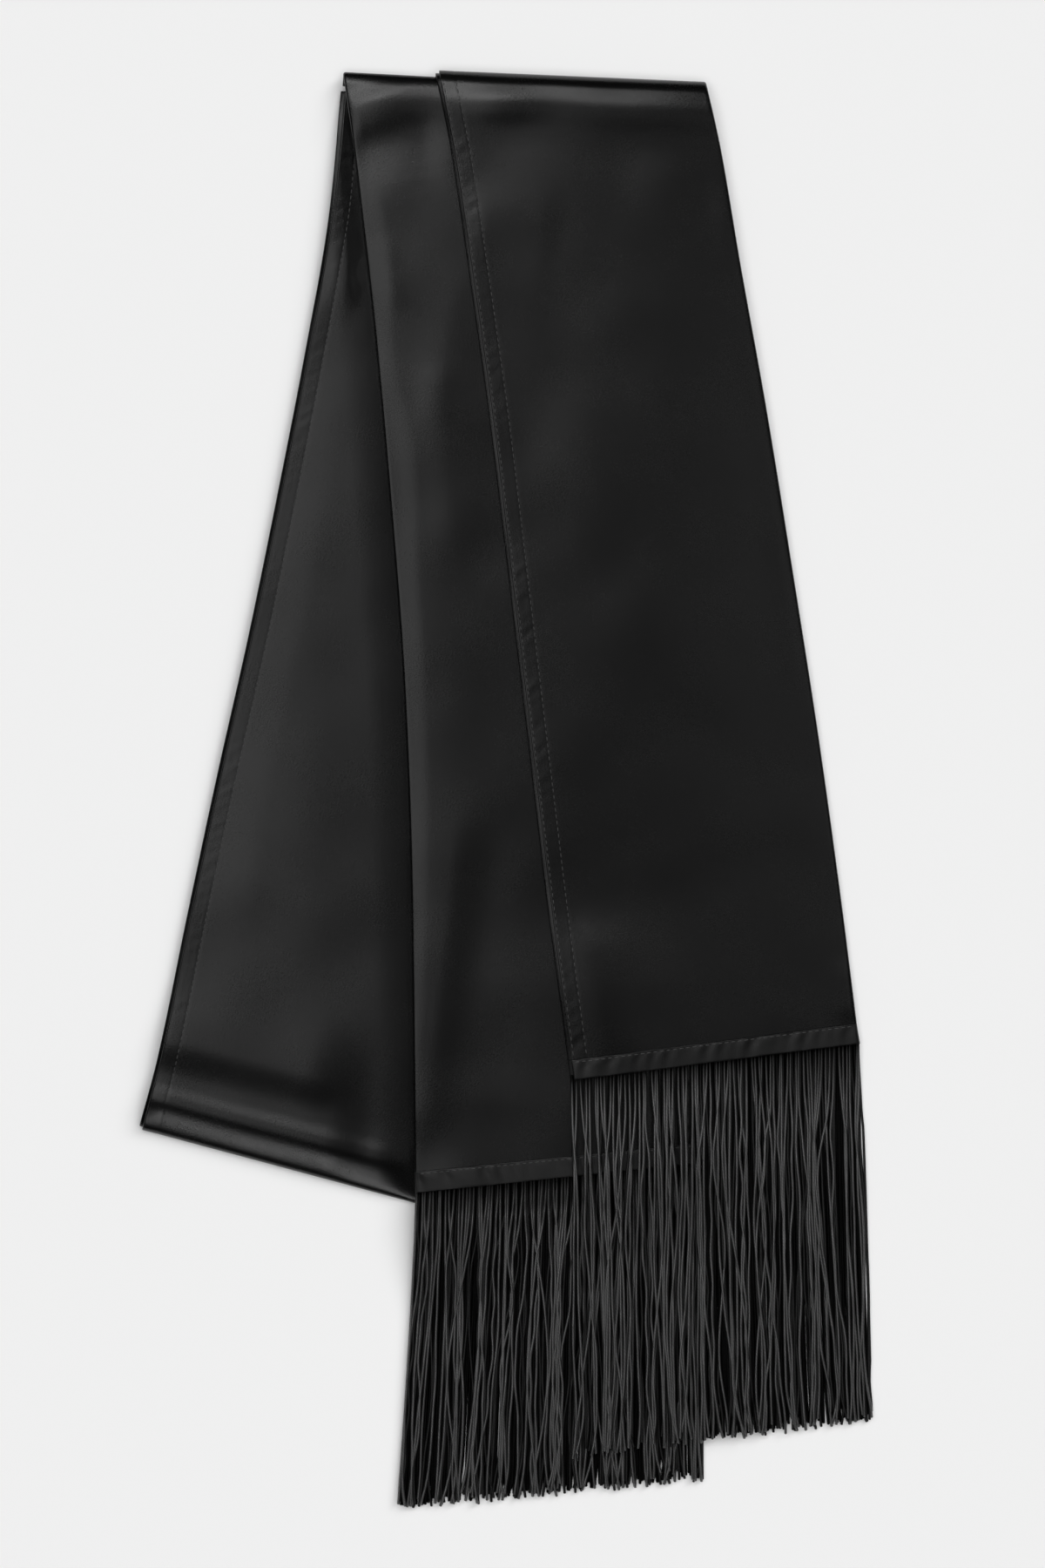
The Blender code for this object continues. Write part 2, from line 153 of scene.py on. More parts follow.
FRONT_CREASES = (
    # behind the rolled top edge
    Crease(((-36, 297.8), (-7, 296.4), (25, 295), (60, 293), (140, 289)), 9.2, 9, 1.8, 46),
    # the soft band that comes over from the second fall
    Crease(((-22, 247), (-8, 246), (8, 243), (28, 240)), 15, 26, 0.35, 16),
    # along the folded side
    Crease(((91, 276), (94.6, 250), (98.6, 228), (105.5, 191), (112, 150)), 5, 6, 0.4, 34),
    Crease(((106, 186), (114, 140), (122, 78), (129, 30)), 2.6, 5.5, 0.2, 40),
    Crease(((145.6, -68), (148, -90), (149.4, -104)), 2.5, 5.5, 0.6, 14),
    # broad and hardly raised
    Crease(((84, 200), (79, 131), (71, 66), (62, 20)), 26, 24, 0.6, 60),
    Crease(((12, 172), (30, 142), (52, 104)), 16, 14, 0.3, 34),
    Crease(((110, 168), (100, 150), (94, 128)), 12, 12, 0.25, 22),
    # the lower left corner
    Crease(((34, -40), (40, -75), (45, -104), (48, -136)), 24, 10.5, 0.9, 34),
)
SECOND_CREASES = (
    # behind the rolled top edge, and the shoulder at its left end
    Crease(((-84, 298.5), (-52, 297.2), (-36, 296.4), (-14, 295.4), (28, 293.5)), 9, 8, 1.5, 42),
    Crease(((-74, 277.5), (-44, 278.5), (-20, 280)), 12, 18, -0.9, 18),
    Crease(((-67, 304), (-63.5, 294), (-59, 275)), 18, 6, 1.4, 20),
    # the soft band across the top
    Crease(((-62, 263), (-49, 260.5), (-37, 259.5), (-19, 256), (-6, 249), (8, 243)), 18, 24, 0.2, 22),
    # the roll along the folded side
    Crease(((-60, 300), (-54.5, 262), (-49.5, 240), (-47.5, 210), (-47, 188), (-41, 163), (-37, 138),
            (-36, 100), (-34, 60), (-32, 0), (-33, -60), (-35, -110), (-35, -150), (-34, -230)),
           30, 9.0, 0.95, 60),
    Crease(((-54, 244), (-50.5, 222), (-47, 200)), 6, 6.5, 0.3, 16),
    # the slanting fold in the upper half
    Crease(((-4, 244), (-14, 222), (-23, 193), (-25, 165), (-22, 130), (-18, 90)), 32, 13, 0.65, 34),
    Crease(((-29, 190), (-30, 172), (-31, 150)), 8, 8, 0.3, 18),
    # the steep side of the roll in the lower half, and the rise beside it at the end
    Crease(((-21, 0), (-24.5, -45), (-29.5, -85), (-34.5, -125), (-37, -165)), 11, 30, 1.2, 34),
    Crease(((-4, -112), (-7, -134), (-10, -152), (-12, -190)), 50, 20, 0.8, 26),
    Crease(((38, -40), (42, -80), (45, -120), (47, -230)), 40, 44, 3.7, 50),
    Crease(((-46, -179), (20, -175), (90, -169)), 30, 30, 0.9, 30),
    Crease(((-14, 10), (-10, -18), (-8, -48)), 18, 12, 0.3, 30),
)
BACK_CREASES = (
    # the broad swell along the middle
    Crease(((-72, 200), (-71, 153), (-77, 110), (-86, 65), (-96, 20), (-104, -25), (-110, -76)),
           48, 19, 0.9, 46),
    # near the top, beside the second fall
    Crease(((-80, 224), (-71, 222), (-62, 221)), 12, 16, 0.4, 8),
    Crease(((-74.3, 304), (-72, 275), (-70, 250), (-68, 225), (-66, 200)), 3.5, 12, 0.8, 24),
    # the upper of two folds along the bottom edge, the lower one, and the full body of the edge
    Crease(((-176, -100), (-157, -104), (-125, -110), (-93, -118.5), (-70, -125), (-54, -129.5)),
           20, 12.5, 2.4, 36),
    Crease(((-168, -127.6), (-157, -130.5), (-125, -139.5), (-93, -148), (-61, -156.5), (-34, -163)),
           7, 9, 1.75, 26),
    Crease(((-190, -128), (-157, -136), (-125, -144), (-93, -152), (-58, -161)), 26, 40, 1.4, 24),
)

# The fringe at each end of the scarf.
Fringe = namedtuple("Fringe", "length left_spread right_spread seed")
FRINGES = {"front": Fringe(163.0, 1.0, 5.0, 11), "second": Fringe(137.2, -7.0, 0.6, 23)}

# The rows of cords at an end, from the lowest up: how many in a full width, where the first one is in
# its share of it and how far each may be off that, their height above what is below, how much shorter
# they are, their shares of the sway and of the gathering, how far their tips turn aside, and the points
# and sides of each cord.
CordRow = namedtuple("CordRow", "name count first loose height short sway gather flick steps sides")
CORD_ROWS = (
    CordRow("bed", 114, 0.5, 0.08, 0.05, 1.5, 0.08, 0.6, 0.5, 22, 6),
    CordRow("bed", 114, 0.95, 0.08, 0.45, 1.5, 0.15, 0.6, 0.5, 22, 6),
    CordRow("lower", 64, 0.95, 0.45, 0.95, 0.0, 0.9, 1.0, 1.5, 40, 7),
    CordRow("upper", 72, 0.95, 0.45, 1.55, 0.0, 1.0, 1.0, 1.5, 48, 8),
)
BED_START = {"front": 0.45, "second": 0.0}     # over the second fall, the front end has no bed
CORD_WAVES = ((0.4, 0.9, 1.0), (1.1, 2.2, 2.6), (3.0, 6.5, 8.0))   # turns from, to, and how much weaker
CORD_FLOOR = 0.15          # a cord lies at least this far above what is below it
CORD_ROOT = 1.25           # height of the cords' middles inside the band
CORD_INSIDE = 2.2          # how far they reach into it
CORD_SHADE = (1.5, 16.0)   # the cords come out of the band's shade from here, over this run
CORD_MAP = 160.0           # their length on the flat map

# ---------------------------------------------------------------- how the cloth lies

def ease(value):
    """Go from 0 to 1 as value does, with a soft start and end."""
    value = np.clip(value, 0.0, 1.0)
    return value ** 3 * (value * (value * 6.0 - 15.0) + 10.0)


def bell(value, middle, spread):
    """A soft bump, 1 high at its middle."""
    return np.exp(-((value - middle) / spread) ** 2)


def unit(ways):
    """The same ways, each of length 1."""
    return ways / np.linalg.norm(ways, axis=-1, keepdims=True)


def higher(one, two):
    """The higher of two heights, rounded where they meet."""
    soft = 0.4 * np.minimum(one, two)
    return (one + two + np.sqrt((one - two) ** 2 + soft ** 2)) / 2


def wander(along, seed, longest, shortest, waves=7):
    """A smooth line between about -1 and 1 that never repeats."""
    chance = np.random.default_rng(seed)
    total = np.zeros_like(along, dtype=float)
    for wave in range(waves):
        length = longest * (shortest / longest) ** (wave / max(waves - 1, 1))
        total += np.sin(TURN * along / length + chance.uniform(0, TURN))
    return total / math.sqrt(waves)


def soft_waves(spots, seed, longest, shortest, waves=12):
    """Broad uneven waves over the cloth, between about -1 and 1."""
    chance = np.random.default_rng(seed)
    total = np.zeros(len(spots))
    for wave in range(waves):
        length = longest * (shortest / longest) ** (wave / max(waves - 1, 1))
        heading = chance.uniform(0, np.pi)
        run = spots[:, 0] * math.cos(heading) + spots[:, 1] * math.sin(heading)
        total += length / longest * np.sin(TURN * run / length + chance.uniform(0, TURN))
    return total / 2


class Plan:
    """The plan of a stretch: its two side lines, smooth through its sections."""

    def __init__(self, sections):
        self.sections = np.array(sections, float)
        steps = np.diff(self.sections, axis=0)
        sides = (np.hypot(steps[:, 0], steps[:, 1]) + np.hypot(steps[:, 2], steps[:, 3])) / 2
        self.stops = np.concatenate([[0.0], np.cumsum(sides)])
        self.length = float(self.stops[-1])
        count = len(self.stops)
        before = np.maximum(np.arange(count) - 1, 0)
        after = np.minimum(np.arange(count) + 1, count - 1)
        rise = self.sections[after] - self.sections[before]
        self.slopes = rise / (self.stops[after] - self.stops[before])[:, None]

    def at(self, along):
        """Left and right points of the stretch at distances from its first section."""
        along = np.atleast_1d(np.asarray(along, float))
        index = np.clip(np.searchsorted(self.stops, along) - 1, 0, len(self.stops) - 2)
        span = (self.stops[index + 1] - self.stops[index])[:, None]
        t = (along - self.stops[index])[:, None] / span
        values = (
            (2 * t ** 3 - 3 * t ** 2 + 1) * self.sections[index]
            + (t ** 3 - 2 * t ** 2 + t) * self.slopes[index] * span
            + (3 * t ** 2 - 2 * t ** 3) * self.sections[index + 1]
            + (t ** 3 - t ** 2) * self.slopes[index + 1] * span
        )
        return values[:, :2], values[:, 2:]

    def crossing(self, along):
        """Left and right points at one distance, the way from one to the other, and how far it is."""
        left, right = (side[0] for side in self.at(along))
        width = np.hypot(*(right - left))
        return left, right, (right - left) / width, width

    def outline(self):
        """The line round the plan, down its left side and up its right one."""
        left, right = self.at(np.linspace(0.0, self.length, OUTLINE_STEPS + 1))
        return np.concatenate([left, right[::-1]])


def distance_outside(outline, spots):
    """How far spots lie outside an outline, below 0 where they are inside."""
    start = np.asarray(outline, float)
    side = np.roll(start, -1, axis=0) - start
    along_y = np.where(side[:, 1] == 0, 1e-9, side[:, 1])
    result = np.empty(len(spots))
    for first in range(0, len(spots), CHUNK):
        x = spots[first:first + CHUNK, 0:1] - start[:, 0]
        y = spots[first:first + CHUNK, 1:2] - start[:, 1]
        t = np.clip((x * side[:, 0] + y * side[:, 1]) / (side ** 2).sum(1), 0.0, 1.0)
        nearest = np.hypot(x - t * side[:, 0], y - t * side[:, 1]).min(1)
        crosses = ((y < 0) != (y - side[:, 1] < 0)) & (x < y * side[:, 0] / along_y)
        inside = crosses.sum(1) % 2 == 1
        result[first:first + CHUNK] = np.where(inside, -nearest, nearest)
    return result


def smooth_line(points, step=6.0):
    """Closely spaced points on a smooth line through a few points."""
    points = np.asarray(points, float)
    ends = np.concatenate([[2 * points[0] - points[1]], points, [2 * points[-1] - points[-2]]])
    line = [points[:1]]
    for before, one, two, after in zip(ends, ends[1:], ends[2:], ends[3:]):
        t = np.linspace(0, 1, max(2, int(np.hypot(*(two - one)) / step) + 1))[1:, None]
        line.append(0.5 * (
            2 * one + (two - before) * t + (2 * before - 5 * one + 4 * two - after) * t ** 2
            + (3 * one - before - 3 * two + after) * t ** 3))
    return np.concatenate(line)


def along_line(line, spots):
    """How far spots lie along a line and off to its left, from the nearest point of the line."""
    nearest = np.full(len(spots), np.inf)
    along, off = np.zeros(len(spots)), np.zeros(len(spots))
    run = 0.0
    for one, two in zip(line, line[1:]):
        side = two - one
        length = np.hypot(*side)
        side = side / length
        away = spots - one
        forward = np.clip(away @ side, 0.0, length)
        rest = away - forward[:, None] * side
        distance = np.hypot(rest[:, 0], rest[:, 1])
        closer = distance < nearest
        nearest[closer] = distance[closer]
        along[closer] = run + forward[closer]
        left = side[0] * away[:, 1] - side[1] * away[:, 0]
        off[closer] = np.copysign(distance, left)[closer]
        run += length
    return along, off, run


def crease_lift(creases, spots):
    """How far the creases lift the cloth at spots."""
    height = np.zeros(len(spots))
    for crease in creases:
        line = smooth_line(crease.line)
        reach = 3.0 * max(crease.left, crease.right)
        near = ((spots > line.min(0) - reach) & (spots < line.max(0) + reach)).all(1)
        if not near.any():
            continue
        along, off, length = along_line(line, spots[near])
        fade = min(crease.fade, length / 2)
        ends = ease(along / fade) * ease((length - along) / fade)
        spread = np.where(off > 0, crease.left, crease.right)
        height[near] += crease.height * ends * bell(off, 0.0, spread)
    return height


class Layer:
    """A stretch of cloth or fringe as it lies on the layers below it."""

    def __init__(self, outline, thickness, creases=(), below=(), wave=0.0, seed=0, loft=0.0, nest=None,
                 fall=FALL):
        self.outline, self.thickness, self.creases, self.below = outline, thickness, creases, below
        self.wave, self.seed, self.loft, self.nest, self.fall = wave, seed, loft, nest, fall

    def underside(self, spots):
        """Height of the layer's underside above the table, at spots (n, 2)."""
        height = np.zeros(len(spots))
        for layer in self.below:
            beyond = distance_outside(layer.outline, spots)
            near = beyond < HOLD + self.fall
            if near.any():
                run = np.clip((beyond[near] - HOLD) / self.fall, 0.0, 1.0)
                share = 1.0 - run ** 2 * (3.0 - 2.0 * run)
                height[near] = higher(height[near], share * (layer.top(spots[near]) + SEAM))
        height += crease_lift(self.creases, spots) + self.loft
        if self.nest is not None:
            dip = np.clip(1.0 - distance_outside(self.nest, spots) / NEST, 0.0, 1.0)
            height -= self.loft * dip ** 2
        if self.wave:
            height += self.wave * (WAVE_FLOOR + soft_waves(spots, self.seed, *WAVE_LENGTHS)) / 2
        return height

    def top(self, spots):
        """Height of the layer's upper side above the table."""
        return self.underside(spots) + self.thickness


# ---------------------------------------------------------------- meshes

def new_piece(name, points, faces, uvs, finish, slot):
    """A shown object from points in millimetres, with its faces out, riding on the scarf."""
    mesh = bpy.data.meshes.new(name)
    triangles, quads = (
        np.array([face for face in faces if len(face) == corners], np.int32).reshape(-1, corners)
        for corners in (3, 4))
    split = np.concatenate([triangles, quads[:, :3], quads[:, [0, 2, 3]]])
    a, b, c = (points[split[:, i]] for i in range(3))
    if (a * np.cross(b, c)).sum() < 0:
        quads, triangles = quads[:, ::-1], triangles[:, ::-1]
    loops = np.concatenate([quads.ravel(), triangles.ravel()])
    sizes = np.concatenate([np.full(len(quads), 4), np.full(len(triangles), 3)])
    mesh.vertices.add(len(points))
    mesh.vertices.foreach_set("co", (points * MM).astype(np.float32).ravel())
    mesh.loops.add(len(loops))
    mesh.loops.foreach_set("vertex_index", loops.astype(np.int32))
    mesh.polygons.add(len(sizes))
    starts = np.concatenate([[0], np.cumsum(sizes)[:-1]])
    mesh.polygons.foreach_set("loop_start", starts.astype(np.int32))
    mesh.update(calc_edges=True)
    mesh.validate()
    layer = mesh.uv_layers.new(name=CLOTH_MAP)
    layer.data.foreach_set("uv", (uvs[loops] * MM).astype(np.float32).ravel())
    mesh.shade_smooth()
    mesh.materials.append(finish_of(finish))
    piece = bpy.data.objects.new(name, mesh)
    bpy.context.scene.collection.objects.link(piece)
    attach(piece, BODY)
    return piece


def tube_faces(rows, ring):
    """Faces of the skin through rows of closed rings."""
    row = np.arange(rows - 1)[:, None] * ring
    here = np.arange(ring)
    there = (here + 1) % ring
    return np.stack([row + here, row + there, row + ring + there, row + ring + here], -1).reshape(-1, 4)


def zip_lines(one, two):
    """Triangles between two lines of point numbers that start and end side by side."""
    faces, i, j = [], 0, 0
    while i < len(one) - 1 or j < len(two) - 1:
        ahead = (i + 1) / (len(one) - 1) <= (j + 1) / (len(two) - 1)
        if j == len(two) - 1 or (i < len(one) - 1 and ahead):
            faces.append((one[i], one[i + 1], two[j]))
            i += 1
        else:
            faces.append((one[i], two[j + 1], two[j]))
            j += 1
    return faces


class Section:
    """The hairpin section of doubled cloth, open at 0 and folded at the far side.

    Columns across the cloth each have a fixed distance and a share of the width. The ring runs from
    the upper leaf's edge over the top, round the fold and back along the lower leaf, then inside.
    """

    def __init__(self, thickness, leaf, middles, hem_wall=HEM_WALL):
        self.half = half = thickness / 2
        turn = np.linspace(0, np.pi, TURN_POINTS + 2)[1:-1]
        ring = []              # fixed distance from the open side, share of the width, height

        def add(distance, part, height):
            ring.append((distance, part, height))

        def across_middle(count, height, backwards=False):
            first = PEEK + HEM + 4.0
            for part in np.linspace(0, 1, count)[::-1 if backwards else 1]:
                add(first - (first + half) * part, part, height)

        for distance, part in reversed(HEM_EDGE):
            add(PEEK + distance, 0.0, half - hem_wall * part)
        self.first_top = len(ring) - 1
        for distance in np.arange(0.8, HEM + 3.9, 0.5):
            add(PEEK + distance, 0.0, half)
        across_middle(middles, half)
        self.last_top = len(ring) - 1
        for angle in turn:
            add(half * math.sin(angle) - half, 1.0, half * math.cos(angle))
        across_middle(LOWER_COLUMNS, -half, backwards=True)
        for distance in (8.0, 4.0, 1.5):
            add(distance, 0.0, -half)
        for distance, part in HEM_EDGE:
            add(distance, 0.0, hem_wall * part - half)
        self.outer_end = len(ring)
        add(HEM, 0.0, hem_wall - half)
        add(HEM + 1.0, 0.0, leaf - half)
        across_middle(INNER_COLUMNS, leaf - half)
        inner = half - leaf
        for angle in np.linspace(np.pi, 0, 7)[1:-1]:
            add(inner * math.sin(angle) - half, 1.0, inner * math.cos(angle))
        across_middle(INNER_COLUMNS, half - leaf, backwards=True)
        add(PEEK + HEM + 1.0, 0.0, half - leaf)
        add(PEEK + HEM, 0.0, half - hem_wall)
        self.fixed, self.share, self.heights = np.array(ring).T
        self.size = len(ring)
        self.columns = self.fixed + self.share * WIDTH

    def across(self, widths):
        """Distance of each point of the ring from the open side, for rows of some widths."""
        return self.fixed + self.share * np.asarray(widths)[:, None]

    def cap(self, first):
        """Faces that close the section's ring of points, which starts at a point number."""
        outer = list(range(first, first + self.outer_end))
        inner = [first] + list(range(first + self.size - 1, first + self.outer_end - 1, -1))
        return zip_lines(outer, inner)


class Stretch:
    """One stretch of doubled cloth: rows of the middle surface, and the skin round them."""

    def __init__(self, plan, layer, section, fold_on_left=False):
        self.plan, self.layer, self.section = plan, layer, section
        self.fold_on_left = fold_on_left
        self.half = layer.thickness / 2
        self.rows, self.alongs = [], []

    def spots(self, along):
        """Plan points of every point of the ring, for rows at distances along the stretch."""
        left, right = self.plan.at(along)
        width = np.hypot(*(right - left).T)
        reach = self.section.across(width) / width[:, None]
        if self.fold_on_left:
            reach = 1.0 - reach
        return left[:, None] + (right - left)[:, None] * reach[..., None]

    def edge(self, at_end):
        """The outer edge of a fold, and the way out over it."""
        left, _, across, _ = self.plan.crossing(self.plan.length if at_end else 0.0)
        return left, np.array([-across[1], across[0]]) * (-1.0 if at_end else 1.0)

    def add_rows(self, along, fold=None):
        """Rows that lie on what is below, and that go down over a fold near them."""
        spots = self.spots(along)
        flat = spots.reshape(-1, 2)
        middle = self.layer.underside(flat) + self.half
        if fold:
            corner, outward = self.edge(fold.at_end)
            inside = (corner - flat) @ outward - self.half
            reach = np.clip(inside / fold.crown, 0.0, 1.0)
            stands = np.sqrt(1.0 - (1.0 - reach) ** 2)
            middle -= (middle - fold.lower(flat)) * fold.share * (1.0 - stands)
        self.rows.append(np.dstack([spots, middle.reshape(spots.shape[:2])]))
        self.alongs.append(np.asarray(along, float))

    def add_turn(self, fold):
        """Rows from the outer edge of a fold, round and under it."""
        corner, outward = self.edge(fold.at_end)
        start = self.plan.length - self.half if fold.at_end else self.half
        spots = self.spots([start])[0]
        spots = spots + outward * ((corner - spots) @ outward - self.half)[:, None]
        upper = self.layer.underside(spots) + self.half
        lower = fold.lower(spots)
        radius = (upper - lower) * (1.0 - fold.share)
        places = []            # how far in from the edge, and how high
        for angle in np.linspace(np.pi / 2, np.pi, TURN_STEPS + 1)[1:]:
            places.append((radius * (1 - math.sin(angle)), lower + radius + radius * math.cos(angle)))
        for distance in np.linspace(0, 1, 4)[1:]:
            places.append((radius + (fold.depth - self.half - radius) * distance, lower))
        rows = np.array([
            np.column_stack([spots - outward * shift[:, None], height]) for shift, height in places])
        beyond = np.arange(1, len(rows) + 1) * 0.8
        if fold.at_end:
            self.rows.append(rows)
            self.alongs.append(self.plan.length + beyond)
        else:
            self.rows.insert(0, rows[::-1])
            self.alongs.insert(0, -beyond[::-1])

    def build(self, detail=None):
        """Points of the skin, its faces and its flat map."""
        middle = np.concatenate(self.rows)
        self.along = np.concatenate(self.alongs)
        steps = np.diff(middle[:, MAP_COLUMN], axis=0)
        run = np.concatenate([[0], np.cumsum(np.linalg.norm(steps, axis=1))])
        order = np.argsort(self.section.columns, kind="stable")
        ordered = middle[:, order]
        keys = self.section.columns[order].round(3)
        _, firsts, back = np.unique(keys, return_index=True, return_inverse=True)
        ahead = np.gradient(ordered, axis=0)[:, firsts]
        normal = unit(np.cross(ahead, np.gradient(ordered[:, firsts], axis=1)))
        flip = np.sign(normal[len(normal) // 2, len(firsts) // 2, 2])
        normal = (normal * flip)[:, back]
        unordered = np.empty_like(normal)
        unordered[:, order] = normal
        heights = np.tile(self.section.heights, (len(middle), 1))
        self.across = np.tile(self.section.columns, (len(middle), 1))
        if detail:
            first, last = self.section.first_top, self.section.last_top + 1
            heights[:, first:last] += detail(self.along[:, None], self.across[:, first:last])
        points = middle + unordered * heights[..., None]
        points[..., 2] = np.maximum(points[..., 2], TABLE_GAP)
        self.points, self.normals = points, unordered
        rows, ring = points.shape[:2]
        faces = tube_faces(rows, ring).tolist()
        faces += self.section.cap(0) + self.section.cap((rows - 1) * ring)
        uvs = np.dstack([self.across, np.tile(run[:, None], (1, ring))])
        return points.reshape(-1, 3), faces, uvs.reshape(-1, 2)

    def top_spots(self, along, across):
        """Points of the upper side, with its normals, at distances along and across the stretch."""
        first, last = self.section.first_top, self.section.last_top
        columns = self.section.columns[first:last + 1]
        row = np.interp(along, self.along, np.arange(len(self.along)))
        column = np.interp(across, columns, np.arange(len(columns))) + first
        i = np.clip(row.astype(int), 0, len(self.along) - 2)
        j = np.clip(column.astype(int), first, last - 1)
        u, v = (row - i)[:, None], (column - j)[:, None]
        return [(1 - u) * ((1 - v) * grid[i, j] + v * grid[i, j + 1])
                + u * ((1 - v) * grid[i + 1, j] + v * grid[i + 1, j + 1])
                for grid in (self.points, self.normals)]


# A fold at an end of a stretch: the run over which the cloth comes down to it, the share of its
# height that it loses there, the depth of its lower side and the height of that side.
Fold = namedtuple("Fold", "at_end crown share depth lower")


# ---------------------------------------------------------------- finishes

class Socket:
    """A value in a material, for sums in Python's own signs."""

    def __init__(self, tree, link):
        self.tree, self.link = tree, link

    def sum(self, operation, *values):
        node = self.tree.nodes.new("ShaderNodeMath")
        node.operation = operation
        for socket, value in zip(node.inputs, values):
            join(self.tree, socket, value)
        return Socket(self.tree, node.outputs[0])

    def __add__(self, other):
        return self.sum("ADD", self, other)

    def __radd__(self, other):
        return self.sum("ADD", other, self)

    def __sub__(self, other):
        return self.sum("SUBTRACT", self, other)

    def __rsub__(self, other):
        return self.sum("SUBTRACT", other, self)

    def __mul__(self, other):
        return self.sum("MULTIPLY", self, other)

    def __rmul__(self, other):
        return self.sum("MULTIPLY", other, self)

    def __truediv__(self, other):
        return self.sum("DIVIDE", self, other)

    def __rtruediv__(self, other):
        return self.sum("DIVIDE", other, self)


def join(tree, socket, value):
    """Link a value of the material to a socket, or set a plain one on it."""
    if isinstance(value, Socket):
        tree.links.new(value.link, socket)
    else:
        socket.default_value = value


class Finish:
    """A material with one Principled shader, and the nodes that feed it."""

    def __init__(self, name):
        self.material = bpy.data.materials.new(name)
        self.material.use_nodes = True
        self.tree = self.material.node_tree
        self.shader = self.tree.nodes["Principled BSDF"]

    def add(self, kind, settings=None, sockets=None, output=0):
        """Add a node of a type, with its settings first and then its sockets, and give one output."""
        node = self.tree.nodes.new(kind)
        for name, value in (settings or {}).items():
            setattr(node, name, value)
        for name, value in (sockets or {}).items():
            join(self.tree, node.inputs[name], value)
        return Socket(self.tree, node.outputs[output])

    def set(self, **values):
        """Set or feed sockets of the shader, named with underscores for spaces."""
        for name, value in values.items():
            join(self.tree, self.shader.inputs[name.replace("_", " ")], value)

    def place(self, stretch=(1.0, 1.0, 1.0), turn=0.0):
        """Flat places on the cloth in millimetres, stretched and turned."""
        flat = self.add("ShaderNodeUVMap", {"uv_map": CLOTH_MAP})
        return self.add(
            "ShaderNodeMapping",
            sockets={"Vector": flat, "Rotation": (0, 0, turn),
                     "Scale": tuple(value / MM for value in stretch)},
        )

    def noise(self, place, size, detail=2.0, roughness=0.5):
        """Uneven values from 0 to 1 with features of some size in millimetres."""
        return self.add(
            "ShaderNodeTexNoise", {"noise_dimensions": "3D"},
            {"Vector": place, "Scale": 1.0 / size, "Detail": detail, "Roughness": roughness},
        )

    def bands(self, turn, sockets):
        """Fine parallel ribs, turned by some degrees from the length of the cloth."""
        return self.add(
            "ShaderNodeTexWave", {"wave_type": "BANDS", "bands_direction": "X"},
            {"Vector": self.place(turn=math.radians(turn)), **sockets},
        )

    def bump(self, height, distance, strength=1.0):
        """The normal of a surface with fine heights, up to a distance in millimetres."""
        return self.add("ShaderNodeBump", sockets={
            "Height": height, "Distance": distance * MM, "Strength": strength})

    def mix(self, share, dark, light):
        """A colour between two, each a plain colour or one from the material."""
        dark, light = (
            colour if isinstance(colour, Socket) else (*colour, 1.0) for colour in (dark, light))
        return self.add(
            "ShaderNodeMix", {"data_type": "RGBA", "clamp_factor": True},
            {"Factor": share, 6: dark, 7: light}, output=2,
        )


def grey(level, tint=(1.0, 1.0, 1.0)):
    """A plain colour of some level."""
    return tuple(level * part for part in tint)


def satin_finish(look):
    """Black satin: a fine even grain, faint warp streaks and soft clouds."""
    finish = Finish("black_satin")
    place = finish.place()
    grain = finish.noise(place, 0.75, 3.0, 0.7)
    warp = finish.noise(finish.place((1.0, 0.06, 1.0)), 0.5, 2.0)
    cloud = finish.noise(place, 34.0, 3.0)
    level = look.satin_level
    share = cloud * 0.6 + grain * 0.5 + warp * 0.2 - 0.15
    finish.set(
        Base_Color=finish.mix(share, grey(level * 0.72), grey(level * 1.28, (1.0, 1.0, 1.01))),
        Roughness=look.satin_roughness + (cloud - 0.5) * 0.08 + (grain - 0.5) * 0.10,
        Normal=finish.bump(grain * 0.8 + warp * 0.2, 0.075),
    )
    return finish.material


def band_finish(look):
    """The turned ends: the duller side of the satin, with fine ribs of twill."""
    finish = Finish("band_satin")
    place = finish.place()
    ribs = finish.bands(63, {"Scale": 0.42, "Distortion": 1.2, "Detail": 1.0, "Detail Scale": 2.0})
    grain = finish.noise(place, 0.5, 3.0, 0.6)
    cloud = finish.noise(place, 9.0, 2.0)
    level = look.band_level
    share = cloud * 0.7 + grain * 0.4 + ribs * 0.2 - 0.15
    finish.set(
        Base_Color=finish.mix(share, grey(level * 0.7), grey(level * 1.3)),
        Roughness=look.band_roughness + (cloud - 0.5) * 0.1 + (grain - 0.5) * 0.1,
        Normal=finish.bump(ribs * 0.6 + grain * 0.4, 0.02),
    )
    return finish.material


def thread_finish(look):
    """Sewing thread: a fine twist and a slight shine."""
    finish = Finish("sewing_thread")
    twist = finish.bands(38, {"Scale": 1.1, "Distortion": 0.6})
    finish.set(
        Base_Color=finish.mix(twist, grey(look.thread_level * 0.6), grey(look.thread_level * 1.3)),
        Roughness=0.42 + twist * 0.1,
        Normal=finish.bump(twist, 0.03, 0.8),
    )
    return finish.material


